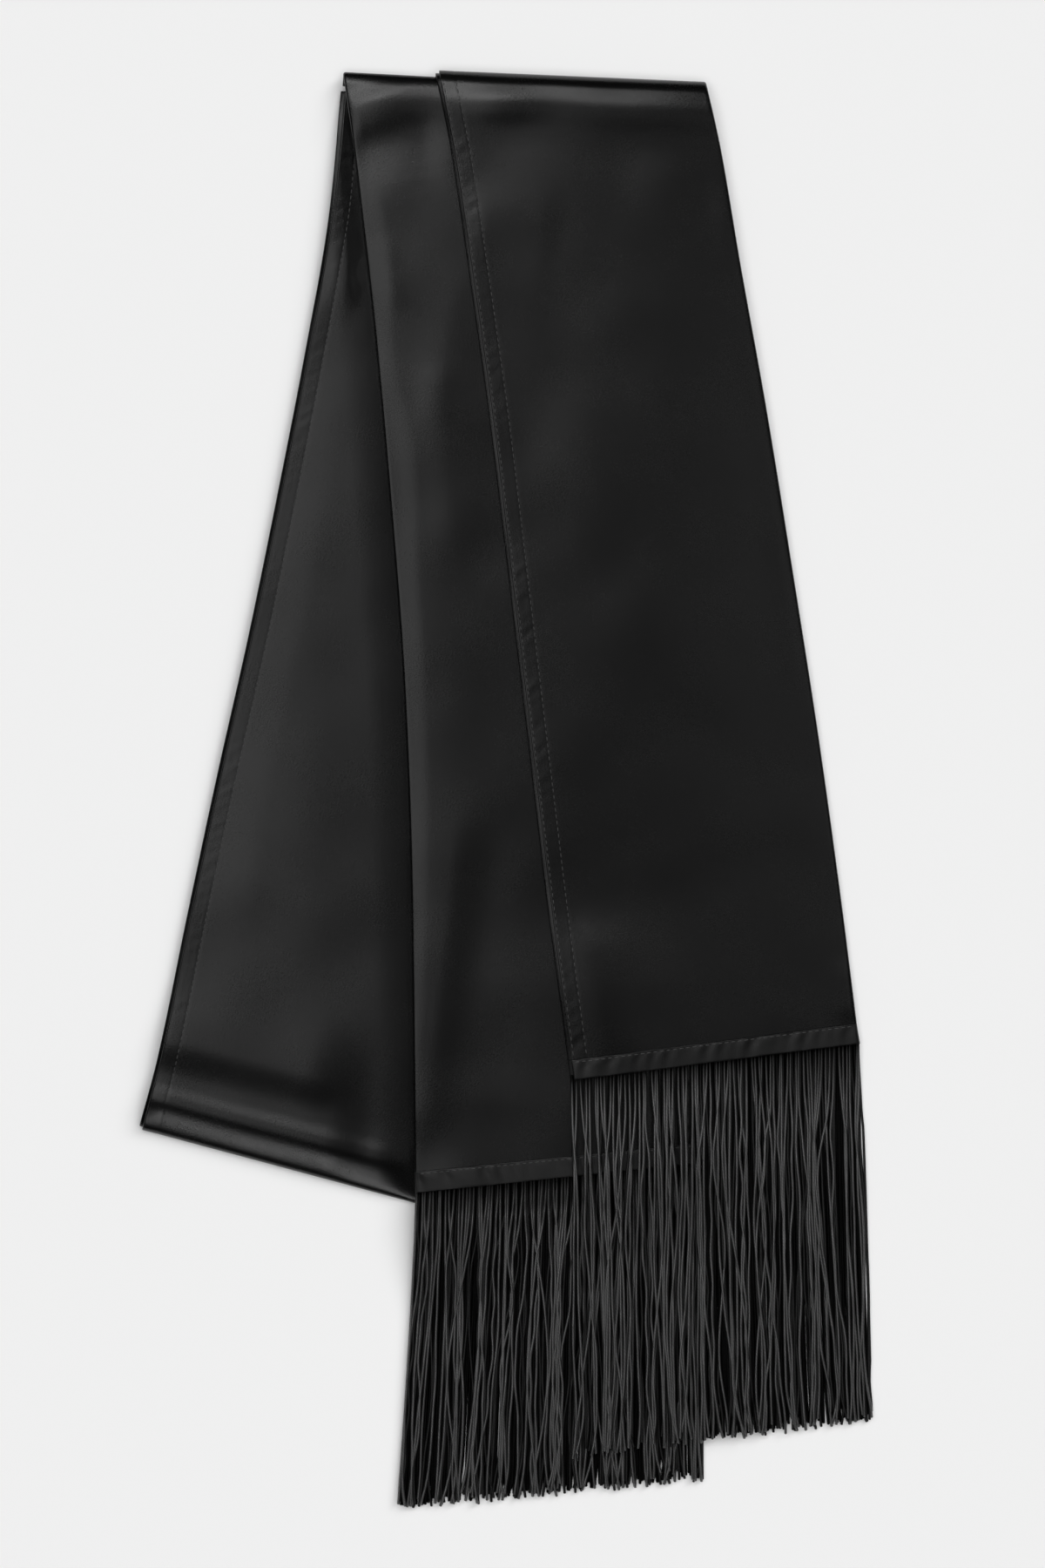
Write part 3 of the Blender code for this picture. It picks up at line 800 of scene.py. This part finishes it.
def cord_finish(look, level):
    """The fringe: a smooth round cord with a slight twist, uneven along its length and in shade where
    it comes out of the band."""
    finish = Finish("fringe_cord")
    twist = finish.bands(52, {"Scale": 0.28, "Distortion": 1.0, "Detail": 2.0})
    uneven = finish.noise(finish.place((0.3, 0.12, 1.0)), 1.0, 3.0)
    run = finish.add("ShaderNodeSeparateXYZ", sockets={"Vector": finish.place()}, output=1)
    lit = finish.add("ShaderNodeClamp", sockets={"Value": (run - CORD_SHADE[0]) / CORD_SHADE[1]})
    colour = finish.mix(uneven * 0.8 + twist * 0.25, grey(level * 0.6), grey(level * 1.35))
    finish.set(
        Base_Color=finish.mix(lit, grey(level * 0.06), colour),
        Metallic=0.96,
        Roughness=look.cord_roughness + (uneven - 0.5) * 0.2,
        Normal=finish.bump(twist * 0.5 + uneven * 0.5, 0.05, 0.6),
    )
    return finish.material


def table_finish(look):
    """The plain pale table, with a hardly visible tooth."""
    finish = Finish("pale_table")
    object_place = finish.add("ShaderNodeTexCoord", output=3)
    tooth = finish.add("ShaderNodeTexNoise", sockets={"Vector": object_place, "Scale": 900.0})
    level = look.table_level
    finish.set(
        Base_Color=finish.mix(tooth, grey(level * 0.998), grey(level * 1.002)),
        Roughness=0.95,
        Specular_IOR_Level=0.0,
    )
    return finish.material


# ---------------------------------------------------------------- the scarf's layers

def layers(cloth):
    """Every layer of the lay, from the table up."""
    plans = {name: Plan(sections) for name, sections in (
        ("front", FRONT_PLAN), ("second", SECOND_PLAN), ("back", BACK_PLAN), ("under", UNDER_PLAN))}
    outlines = {name: plan.outline() for name, plan in plans.items()}
    under = Layer(outlines["under"], CLOTH)
    beside = np.concatenate([outlines["second"][:OUTLINE_STEPS + 1], [(400.0, -172.0), (400.0, 310.0)]])
    back = Layer(outlines["back"], CLOTH, BACK_CREASES, [under], cloth.wave, 3, BACK_LOFT, beside)
    on_back = [under, back]
    second, second_end = (
        Layer(outlines["second"], thickness, SECOND_CREASES, on_back, cloth.wave, 5, SECOND_LOFT)
        for thickness in (CLOTH, BAND))
    second_cords = Layer(
        fringe_outline(plans["second"], FRINGES["second"]), FRINGE, (), on_back, fall=CORD_FALL)
    front, front_end = (
        Layer(outlines["front"], thickness, FRONT_CREASES, [*on_back, second], cloth.wave, 7)
        for thickness in (CLOTH, BAND))
    front_cords = Layer([], FRINGE, (), [*on_back, second_end, second_cords], fall=CORD_FALL)
    return plans, {
        "under": under, "back": back, "second": second, "second_end": second_end,
        "second_cords": second_cords, "front": front, "front_end": front_end,
        "front_cords": front_cords,
    }


def fringe_outline(plan, fringe):
    """Plan of a fringe, from the end of its band to a little past its longest tips."""
    left, right, across, _ = plan.crossing(plan.length)
    fall = np.array([0.0, -(fringe.length + 2.6)])
    return np.array([
        left, left + fall + across * min(fringe.left_spread, 0.0),
        right + fall + across * max(fringe.right_spread, 0.0), right,
    ])


def hem_detail(seed, share, tilt, step):
    """Heights over the hem along the open side: its puckers, how far its edge stands above its stitch
    line at its two ends, and the step inside that."""
    pucker = bpy.context.scene.scarf_cloth.pucker / MM * share

    def shape(along, across):
        across = across - PEEK
        strong = 0.45 + 0.55 * np.clip(wander(along, seed, 260, 90, 3), -0.6, 1.0)
        crimp = wander(along + across * 0.5, seed + 1, 13.0, 5.0, 5)
        body = bell(across, HEM_LINE * 0.55, HEM_LINE * 0.42)
        rise = pucker * strong * crimp * body
        lean = tilt[0] + (tilt[1] - tilt[0]) * np.clip(along / 450.0, 0.0, 1.0)
        rise += lean * (1.0 - np.clip(across / HEM_LINE, 0.0, 1.0))
        rise -= 0.04 * bell(across, HEM_LINE, 0.5)
        rise -= 0.03 * bell(across, EDGE_LINE, 0.4)
        inside = np.clip((across - HEM_LINE) / 14.0, 0.0, 1.0)
        return rise - step * np.where(across > HEM_LINE, (1 - inside) ** 2, 0.0)
    return shape


def line_of_stitches(stretch, start, end, across, along_cloth=True):
    """Points and normals along a stitch line on the upper side of a stretch."""
    places = np.arange(start, end, bpy.context.scene.scarf_sewing.pitch / MM)
    other = np.full(len(places), float(across))
    return stretch.top_spots(places, other) if along_cloth else stretch.top_spots(other, places)


def stitches(name, lines, slot, rise):
    """Raised stitches at the points of some stitch lines."""
    sewing = bpy.context.scene.scarf_sewing
    long, radius = sewing.length / MM / 2, sewing.width / MM / 2
    sides, rings = 6, 5
    angle = np.arange(sides) / sides * TURN
    share = np.linspace(-1, 1, rings)
    girth = np.sqrt(np.clip(1 - share ** 4, 0.12, 1.0))[:, None]
    bow = rise * (1 - share ** 2)
    flat = np.stack(np.broadcast_arrays((angle * radius)[None, :], (share * long)[:, None]), -1)
    points, faces, first = [], [], 0
    base = tube_faces(rings, sides)
    for spots, normals in lines:
        ahead = unit(np.gradient(spots, axis=0))
        side = unit(np.cross(normals, ahead))
        for spot, up, on, aside in zip(spots, normals, ahead, side):
            points.append((
                spot
                + (share * long)[:, None, None] * on
                + (girth * np.cos(angle) * radius)[..., None] * aside
                + (girth * np.sin(angle) * radius + bow[:, None])[..., None] * up
            ).reshape(-1, 3))
            faces.extend((base + first).tolist())
            for at in (first, first + (rings - 1) * sides):
                faces += [(at, at + 1, at + 2, at + 3), (at, at + 3, at + 4, at + 5)]
            first += rings * sides
    uvs = np.tile(flat.reshape(-1, 2), (len(points), 1))
    return new_piece(name, np.concatenate(points), faces, uvs, "thread", slot)


# ---------------------------------------------------------------- settings

def measure(name, description, default, low, high, precision=4):
    """A setting that is a length."""
    return FloatProperty(name=name, description=description, default=default, min=low, max=high,
                         unit="LENGTH", precision=precision)


def factor(name, description, default, precision=4):
    """A setting from 0 to 1."""
    return FloatProperty(name=name, description=description, default=default, min=0.0, max=1.0,
                         subtype="FACTOR", precision=precision)


class ClothSettings(bpy.types.PropertyGroup):
    """How the doubled cloth is made"""
    wave: FloatProperty(
        name="Waves", description="Height of the broad soft waves, in millimetres",
        default=0.25, min=0.0, max=1.0)
    leaf: measure("Leaf", "Thickness of one leaf of the doubled cloth", 0.0005, 0.0002, 0.001)
    row: measure("Row", "Distance between rows of points along a stretch", 0.0011, 0.0008, 0.01)
    columns: IntProperty(
        name="Columns", description="Columns of points across the middle of a stretch",
        default=96, min=12, max=140)
    pucker: measure("Hem pucker", "Height of the small waves in the sewn hems", 0.00016, 0.0, 0.001, 5)


class SewingSettings(bpy.types.PropertyGroup):
    """The stitches, and the puckers of the turned ends"""
    pitch: measure("Stitch spacing", "From one stitch to the next", 0.0028, 0.001, 0.01)
    length: measure("Stitch length", "Length of one stitch", 0.0019, 0.0005, 0.008)
    width: measure("Thread width", "Width of the sewing thread", 0.0004, 0.0001, 0.001)
    band_depth: measure(
        "Band pucker", "Height of the puckers in the turned ends", 0.00028, 0.0, 0.001, 5)


class FringeSettings(bpy.types.PropertyGroup):
    """The cords of the fringe"""
    cord_width: measure("Cord width", "Diameter of one cord", 0.00118, 0.0005, 0.004, 5)
    sway: measure("Sway", "How far the cords wander to the sides", 0.0017, 0.0, 0.01)
    gather: measure("Gather", "How far neighbouring cords draw together or apart", 0.001, 0.0, 0.01)


class LookSettings(bpy.types.PropertyGroup):
    """How much light each finish sends back, and how rough it is"""
    satin_level: factor("Satin", "Light that the black satin sends back", 0.0016)
    satin_roughness: factor("Satin roughness", "Roughness of the satin", 0.26, 3)
    band_level: factor("Band", "Light that the duller turned ends send back", 0.0045)
    band_roughness: factor("Band roughness", "Roughness of the turned ends", 0.46, 3)
    cord_level: factor("Cord", "Light that the cords send back", 0.27)
    # painted shade: the lower and bed cords are the same cord as the upper ones, given darker levels to
    # stand for the shade that the cords above cast on them
    lower_cord_shaded_level: factor("Lower cord", "The same for the cords between the upper ones", 0.06)
    bed_cord_shaded_level: factor("Bed cord", "The same for the lowest cords, in the others' shade", 0.012)
    cord_roughness: factor("Cord roughness", "Roughness of the cords", 0.45, 3)
    thread_level: factor("Thread", "Light that the sewing thread sends back", 0.05)
    table_level: factor("Table", "Light that the pale table sends back", 0.87, 3)


class StageSettings(bpy.types.PropertyGroup):
    """Where the camera looks"""
    centre: FloatVectorProperty(
        name="Centre", description="Point of the table under the camera",
        size=3, default=(0.0075, 0.0032, 0.0), subtype="TRANSLATION", unit="LENGTH")
    reach: measure("Long side", "Length of table that the picture's long side takes in", 0.675, 0.1, 5.0)
    lens: FloatProperty(
        name="Lens", description="Focal length of the camera, in millimetres",
        default=250.0, min=10.0, max=600.0)
    level: measure("Level", "Height of the plane that is exactly to scale", 0.005, 0.0, 0.1)


# ---------------------------------------------------------------- operators

shared = {}                # the lay and the finishes, once they are made


def finish_of(name):
    """One of the scarf's finishes, made when it is first asked for."""
    look = bpy.context.scene.scarf_look
    makers = {
        "satin": satin_finish, "band": band_finish, "thread": thread_finish, "table": table_finish,
        "upper": lambda look: cord_finish(look, look.cord_level),
        # painted shade: the lower and bed cords get the cord finish at darker levels, for the shade of
        # the cords above them
        "lower": lambda look: cord_finish(look, look.lower_cord_shaded_level),
        "bed": lambda look: cord_finish(look, look.bed_cord_shaded_level),
    }
    if name not in shared:
        shared[name] = makers[name](look)
    return shared[name]


def lay():
    """The plans and layers, worked out once."""
    if "lay" not in shared:
        shared["lay"] = layers(bpy.context.scene.scarf_cloth)
    return shared["lay"]


def even_rows(start, end, step):
    """Evenly spaced distances between two, about a step apart."""
    return np.linspace(start, end, max(2, int(round((end - start) / step)) + 1))


class SCARF_OT_under(bpy.types.Operator):
    """Make the under layers, which run straight from the top folds to the bottom fold"""
    bl_idname = "scarf.under_layers"
    bl_label = "Under layers"

    def execute(self, context):
        plans, found = lay()
        plan = plans["under"]
        section = Section(CLOTH, context.scene.scarf_cloth.leaf / MM, UNDER_COLUMNS)
        stretch = Stretch(plan, found["under"], section)
        stretch.add_rows(even_rows(OUTER_TURN + 1.6, plan.length - INNER_TURN - 2.0, UNDER_ROW))
        piece = new_piece("under_layers_cloth", *stretch.build(), "satin", "satin")
        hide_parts("under_layers")
        return {"FINISHED"}


def build_fall(side, fold, hem, fold_on_left=False):
    """The cloth of a fall, from its fold to its band, or to the other fold where it has no band."""
    cloth = bpy.context.scene.scarf_cloth
    plans, found = lay()
    plan = plans[side]
    section = Section(CLOTH, cloth.leaf / MM, cloth.columns)
    stretch = Stretch(plan, found[side], section, fold_on_left)
    crown = CLOTH / 2 + fold.crown * (1 - np.cos(np.linspace(0, np.pi / 2, CROWN_STEPS)))
    step = cloth.row / MM
    if fold.at_end:
        stretch.add_rows(even_rows(INNER_TURN + 1.0, plan.length - crown[-1] - 1.0, step), fold)
        stretch.add_rows(plan.length - crown[::-1], fold)
    else:
        end = plan.stops[-2] - BUTT
        stretch.add_rows(crown, fold)
        stretch.add_rows(even_rows(crown[-1] + 1.0, end - 0.1, step), fold)
        stretch.add_rows([end], fold)
    stretch.add_turn(fold)
    piece = new_piece(f"{side}_fall_cloth", *stretch.build(hem), "satin", "satin")
    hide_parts(f"{side}_fall")
    return stretch, piece


def build_end_band(side, fold_on_left, seed):
    """The turned end of a fall: its puckered strip and the stitches along its upper edge."""
    sewing = bpy.context.scene.scarf_sewing
    plans, found = lay()
    plan = plans[side]
    start = plan.stops[-2]
    length = plan.length - start
    section = Section(BAND, BAND_LEAF, BAND_COLUMNS, BAND_WALL)
    stretch = Stretch(plan, found[f"{side}_end"], section, fold_on_left)
    stretch.add_rows(start + np.concatenate([
        [0.0, 0.12, 0.3, 0.55], np.arange(0.9, length - 0.6, 0.45),
        [length - 0.45, length - 0.25, length - 0.1, length]]))

    def puckers(along, across):
        down = along - start
        near = bell(down, 2.4, 2.6)
        wave = wander(across + down * 0.35, seed, 15.0, 6.0, 6)
        broad = wander(across, seed + 1, 60.0, 20.0, 4)
        rise = sewing.band_depth / MM * (wave * (0.35 + 0.65 * near) + 0.5 * broad)
        rise -= 0.06 * bell(down, 1.0, 0.4)
        edge = np.minimum(down, length - down) / BAND_ROUND
        rounding = BAND_DROP * (1 - np.sqrt(np.clip(1 - (1 - edge) ** 2, 0, 1))) * (edge < 1)
        rounding *= np.where(down < length / 2, 0.4, 1.0)
        return rise * np.clip(edge, 0, 1) - rounding

    piece = new_piece(f"{side}_end_band_cloth", *stretch.build(puckers), "band", "band")
    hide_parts(f"{side}_end_band")
    line = line_of_stitches(stretch, 4.0, 123.5, start + 1.0, along_cloth=False)
    return piece, stitches(f"{side}_end_band_stitches", [line], "band", 0.12)


def on_table(spots):
    """Height of a fold's lower side that lies on the table."""
    return np.full(len(spots), CLOTH / 2)


class SCARF_OT_back(bpy.types.Operator):
    """Make the back fall, which comes forward over the bottom fold"""
    bl_idname = "scarf.back_fall"
    bl_label = "Back fall"

    def execute(self, context):
        fold = Fold(True, 16.0, 0.85, INNER_TURN, on_table)
        stretch, piece = build_fall("back", fold, hem_detail(31, 0.3, (0.42, 0.14), 0.0))
        line = line_of_stitches(stretch, 20.0, stretch.plan.length - 22.0, PEEK + HEM_LINE)
        sewn = stitches("back_fall_stitches", [line], "satin", 0.1)
        return {"FINISHED"}


class SCARF_OT_second(bpy.types.Operator):
    """Make the second fall and its turned end"""
    bl_idname = "scarf.second_fall"
    bl_label = "Second fall"

    def execute(self, context):
        back = lay()[1]["back"]
        fold = Fold(False, 4.5, 0.45, INNER_TURN, lambda spots: back.underside(spots) + CLOTH / 2)
        _, piece = build_fall("second", fold, hem_detail(51, 1.0, (0.0, 0.0), 0.05), True)
        band, sewn = build_end_band("second", True, 61)
        return {"FINISHED"}


class SCARF_OT_front(bpy.types.Operator):
    """Make the front fall, its turned end and its stitched hem"""
    bl_idname = "scarf.front_fall"
    bl_label = "Front fall"

    def execute(self, context):
        fold = Fold(False, 4.8, 0.4, OUTER_TURN, on_table)
        stretch, piece = build_fall("front", fold, hem_detail(71, 0.4, (0.0, -0.06), 0.02))
        end = stretch.plan.stops[-2] - 1.0
        lines = [line_of_stitches(stretch, 6.0, end, PEEK + line) for line in (HEM_LINE, EDGE_LINE)]
        sewn = stitches("front_fall_stitches", lines, "satin", 0.1)
        band, band_sewn = build_end_band("front", False, 81)
        return {"FINISHED"}


def cord_paths(end, row, seed):
    """Middle lines of the cords of one row, from inside the band down to their cut tips."""
    settings = bpy.context.scene.scarf_fringe
    plans, found = lay()
    plan, fringe = plans[end], FRINGES[end]
    chance = np.random.default_rng(seed)
    left, right, across, width = plan.crossing(plan.length)
    inward = np.array([-across[1], across[0]])
    radius = settings.cord_width / MM / 2
    start = BED_START[end] if row.name == "bed" else 0.0
    count = int(round(row.count * (1.0 - start)))
    share = np.linspace(0, 1, row.steps)
    slots = (np.arange(count) + row.first) / count
    reach = start + (1.0 - start) * (slots + chance.uniform(-row.loose, row.loose, count) / count)
    reach = np.clip(reach, 0.005, 0.995)
    if row.name == "lower":
        keep = (reach > BED_START[end]) | (np.arange(count) % 2 == 0)
        reach, count = reach[keep], int(keep.sum())
    length = fringe.length - np.abs(chance.normal(0, 2.6, count)) - row.short
    sway = settings.sway / MM * row.sway
    aside = np.zeros((count, row.steps))
    for low, high, weaker in CORD_WAVES:
        turns = chance.uniform(low, high, count)[:, None]
        phase = chance.uniform(0, TURN, count)[:, None]
        strength = sway / weaker * chance.normal(0, 1, count)[:, None]
        aside += strength * (np.sin(TURN * turns * share + phase) - np.sin(phase))
    aside *= np.minimum(share * 4.0, 1.0)
    spread = fringe.left_spread + (fringe.right_spread - fringe.left_spread) * reach
    aside += spread[:, None] * share ** 1.3
    gather = wander(reach * width, fringe.seed, 34.0, 9.0, 4) * (row.gather * (settings.gather / MM))
    aside += gather[:, None] * ease(share)
    aside += chance.normal(0, row.flick, count)[:, None] * np.clip((share - 0.87) / 0.13, 0, 1) ** 2
    root = left + across * (reach * width)[:, None] + inward * CORD_INSIDE
    y = root[:, 1:2] - share * (length + CORD_INSIDE)[:, None]
    low_x = left[0] + (min(fringe.left_spread, 0.0) - 1.0) * share ** 1.3
    high_x = right[0] + (max(fringe.right_spread, 0.0) + 0.6) * share ** 0.7
    x = np.clip(root[:, 0:1] + aside, low_x + radius, high_x - radius)
    flat = np.stack([x, y], -1).reshape(-1, 2)
    inside, ground = (
        found[f"{end}_{name}"].underside(flat).reshape(count, row.steps) for name in ("end", "cords"))
    ground = inside + (ground - inside) * ease(share / 0.16)
    lift = row.height + radius + chance.uniform(0, 0.5, count)[:, None]
    phase = chance.uniform(0, TURN, count)[:, None]
    lift = lift + 0.15 * np.sin(TURN * share * chance.uniform(1.5, 4, count)[:, None] + phase)
    lift = np.maximum(lift, radius + CORD_FLOOR)
    lift = CORD_ROOT + (lift - CORD_ROOT) * ease(share / 0.1)
    return np.dstack([x, y, ground + lift]), radius, chance


def cord_skin(paths, radius, chance, sides):
    """Points, faces and flat map of round cords along middle lines, with rounded cut tips."""
    count, steps = paths.shape[:2]
    ahead = unit(np.gradient(paths, axis=1))
    side = unit(np.cross(ahead, np.array([0.0, 0.0, 1.0])))
    up = np.cross(side, ahead)
    tip = paths[:, -1:] + ahead[:, -1:] * (radius * np.array([0.35, 0.6])[None, :, None])
    paths = np.concatenate([paths, tip], 1)
    side, up = (np.concatenate([way, way[:, -1:], way[:, -1:]], 1)[:, :, None] for way in (side, up))
    girth = np.concatenate([np.ones(steps), [0.86, 0.45]])
    thick = radius * chance.normal(1.0, 0.05, count).clip(0.88, 1.12)
    angle = np.arange(sides) / sides * TURN
    ring = np.cos(angle)[:, None] * side + np.sin(angle)[:, None] * up
    points = paths[:, :, None] + ring * (thick[:, None] * girth)[:, :, None, None]
    total = steps + 2
    first = np.arange(count)[:, None, None] * total * sides
    faces = (tube_faces(total, sides)[None] + first).reshape(-1, 4).tolist()
    for at in (0, (total - 1) * sides):
        for corner in range(1, sides - 1):
            faces += (first[:, :, 0] + at + np.array([0, corner, corner + 1])).tolist()
    run = np.concatenate([np.linspace(0, 1, steps) * CORD_MAP, [CORD_MAP + 0.4, CORD_MAP + 0.8]])
    offset = chance.uniform(0, 500, count)
    uvs = np.stack(np.broadcast_arrays(
        (angle * radius)[None, None, :] + offset[:, None, None], run[None, :, None]), -1)
    return points.reshape(-1, 3), faces, uvs.reshape(-1, 2)


def build_fringe(end):
    """All the cords of one end, in a piece for each kind of row."""
    made = {}
    for number, row in enumerate(CORD_ROWS):
        paths, radius, chance = cord_paths(end, row, FRINGES[end].seed * 10 + number)
        made.setdefault(row.name, []).append(cord_skin(paths, radius, chance, row.sides))
    for name, skins in made.items():
        faces, first = [], 0
        for points, found, _ in skins:
            faces.extend([number + first for number in face] for face in found)
            first += len(points)
        points, uvs = (np.concatenate([skin[part] for skin in skins]) for part in (0, 2))
        piece = new_piece(f"{end}_fringe_{name}_cords", points, faces, uvs, name, "fringe")
        if name != "bed":
            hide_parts(f"{end}_fringe_{name}")


class SCARF_OT_fringe(bpy.types.Operator):
    """Make the cords of both fringed ends"""
    bl_idname = "scarf.fringes"
    bl_label = "Fringes"

    def execute(self, context):
        for end in ("second", "front"):
            build_fringe(end)
        return {"FINISHED"}


# The studio's soft boxes: place, target, size and power. The satin mirrors them, so that its tone
# follows its slope and place. They light nothing else.
SOFT_BOXES = (
    ("north_west", (-0.30, 0.20, 0.865), (-0.05, 0.0, 0.0), (0.37, 0.87), 1.3),
    ("north", (-0.295, 0.843, 1.2), (0.0, 0.1, 0.0), (0.6, 0.4), 2.6),
    ("high_north", (0.10, 1.4, 3.0), (0.0, 0.0, 0.0), (0.8, 0.38), 4.4),
    ("south", (-0.32, -1.3, 1.2), (-0.08, -0.12, 0.0), (0.46, 0.3), 2.4),
    ("east", (0.31, 0.08, 0.62), (0.12, 0.05, 0.0), (0.15, 0.5), 0.12),
    ("ceiling", (0.05, 0.05, 2.3), (0.0, 0.0, 0.0), (0.9, 0.9), 0.56),
)
# The even light on the table and the cords: where it comes from, strength and angle of softness.
EVEN_LIGHTS = (
    ("overhead", (0.05, 0.1, 1.0), 2.25, 70.0),
    ("key", (1.3, 1.1, 1.2), 1.1, 28.0),
)


def facing(place, target):
    """Turn of a light at a place, so that it shines on a target with its second side up the table."""
    back = (Vector(place) - Vector(target)).normalized()
    side = Vector((0.0, 1.0, 0.0)).cross(back).normalized()
    return Matrix((side, back.cross(side), back)).transposed().to_euler()


def add_light(name, kind, place, target, mirrored):
    """A light that is either mirrored by the cloth or lights it evenly."""
    data = bpy.data.lights.new(name, kind)
    light = bpy.data.objects.new(name, data)
    light.location = place
    light.rotation_euler = facing(place, target)
    light.visible_glossy = mirrored
    light.visible_diffuse = not mirrored
    light.visible_camera = False
    bpy.context.scene.collection.objects.link(light)
    return data


class SCARF_OT_stage(bpy.types.Operator):
    """Make the pale table, the soft studio light and the camera"""
    bl_idname = "scarf.stage"
    bl_label = "Stage"

    def execute(self, context):
        scene = context.scene
        stage = scene.scarf_stage
        mesh = bpy.data.meshes.new("table_top")
        side = 6.0
        mesh.from_pydata([(-side, -side, 0), (side, -side, 0), (side, side, 0), (-side, side, 0)],
                         [], [(0, 1, 2, 3)])
        table = bpy.data.objects.new("table_top", mesh)
        mesh.materials.append(finish_of("table"))
        scene.collection.objects.link(table)

        camera = bpy.data.cameras.new("camera")
        camera.sensor_width = 36.0
        camera.lens = stage.lens
        camera.clip_end = 100.0
        eye = bpy.data.objects.new("camera", camera)
        distance = stage.reach * stage.lens / camera.sensor_width
        eye.location = (*stage.centre[:2], distance + stage.level)
        scene.collection.objects.link(eye)
        scene.camera = eye

        world = bpy.data.worlds.new("room")
        world.use_nodes = True
        background = world.node_tree.nodes["Background"].inputs
        background["Color"].default_value = (0.85, 0.85, 0.85, 1.0)
        background["Strength"].default_value = 0.1
        world.cycles_visibility.glossy = False
        scene.world = world
        scene.view_settings.view_transform = "Standard"
        scene.view_settings.look = "None"

        for name, place, target, size, power in SOFT_BOXES:
            box = add_light(name, "AREA", place, target, True)
            box.shape = "RECTANGLE"
            box.size, box.size_y = size
            box.energy = power
        for name, place, strength, softness in EVEN_LIGHTS:
            sun = add_light(name, "SUN", place, (0.0, 0.0, 0.0), False)
            sun.energy = strength
            sun.angle = math.radians(softness)
        return {"FINISHED"}


class SCARF_PT_panel(bpy.types.Panel):
    """The scarf's settings and its pieces"""
    bl_label = "Fringed satin scarf"
    bl_idname = "SCARF_PT_panel"
    bl_space_type = "VIEW_3D"
    bl_region_type = "UI"
    bl_category = "Scarf"

    def draw(self, context):
        for name, label in SETTINGS:
            box = self.layout.box()
            box.label(text=label)
            group = getattr(context.scene, name)
            for prop in group.bl_rna.properties:
                if prop.identifier not in ("rna_type", "name"):
                    box.prop(group, prop.identifier)
        for operator in OPERATORS:
            self.layout.operator(operator.bl_idname)


SETTINGS = (
    ("scarf_cloth", "Cloth"), ("scarf_sewing", "Sewing"), ("scarf_fringe", "Fringe"),
    ("scarf_look", "Finishes"), ("scarf_stage", "Stage"),
)
GROUPS = (ClothSettings, SewingSettings, FringeSettings, LookSettings, StageSettings)
OPERATORS = (
    SCARF_OT_stage, SCARF_OT_under, SCARF_OT_back, SCARF_OT_second, SCARF_OT_front, SCARF_OT_fringe,
)


def register():
    for group, (name, _) in zip(GROUPS, SETTINGS):
        bpy.utils.register_class(group)
        setattr(bpy.types.Scene, name, PointerProperty(type=group))
    for operator in OPERATORS:
        bpy.utils.register_class(operator)
    bpy.utils.register_class(SCARF_PT_panel)


def unregister():
    bpy.utils.unregister_class(SCARF_PT_panel)
    for operator in reversed(OPERATORS):
        bpy.utils.unregister_class(operator)
    for group, (name, _) in zip(GROUPS, SETTINGS):
        delattr(bpy.types.Scene, name)
        bpy.utils.unregister_class(group)


def main():
    register()
    bpy.ops.scarf.stage()
    bpy.ops.scarf.under_layers()
    bpy.ops.scarf.back_fall()
    bpy.ops.scarf.second_fall()
    bpy.ops.scarf.front_fall()
    bpy.ops.scarf.fringes()


if __name__ == "__main__":
    main()
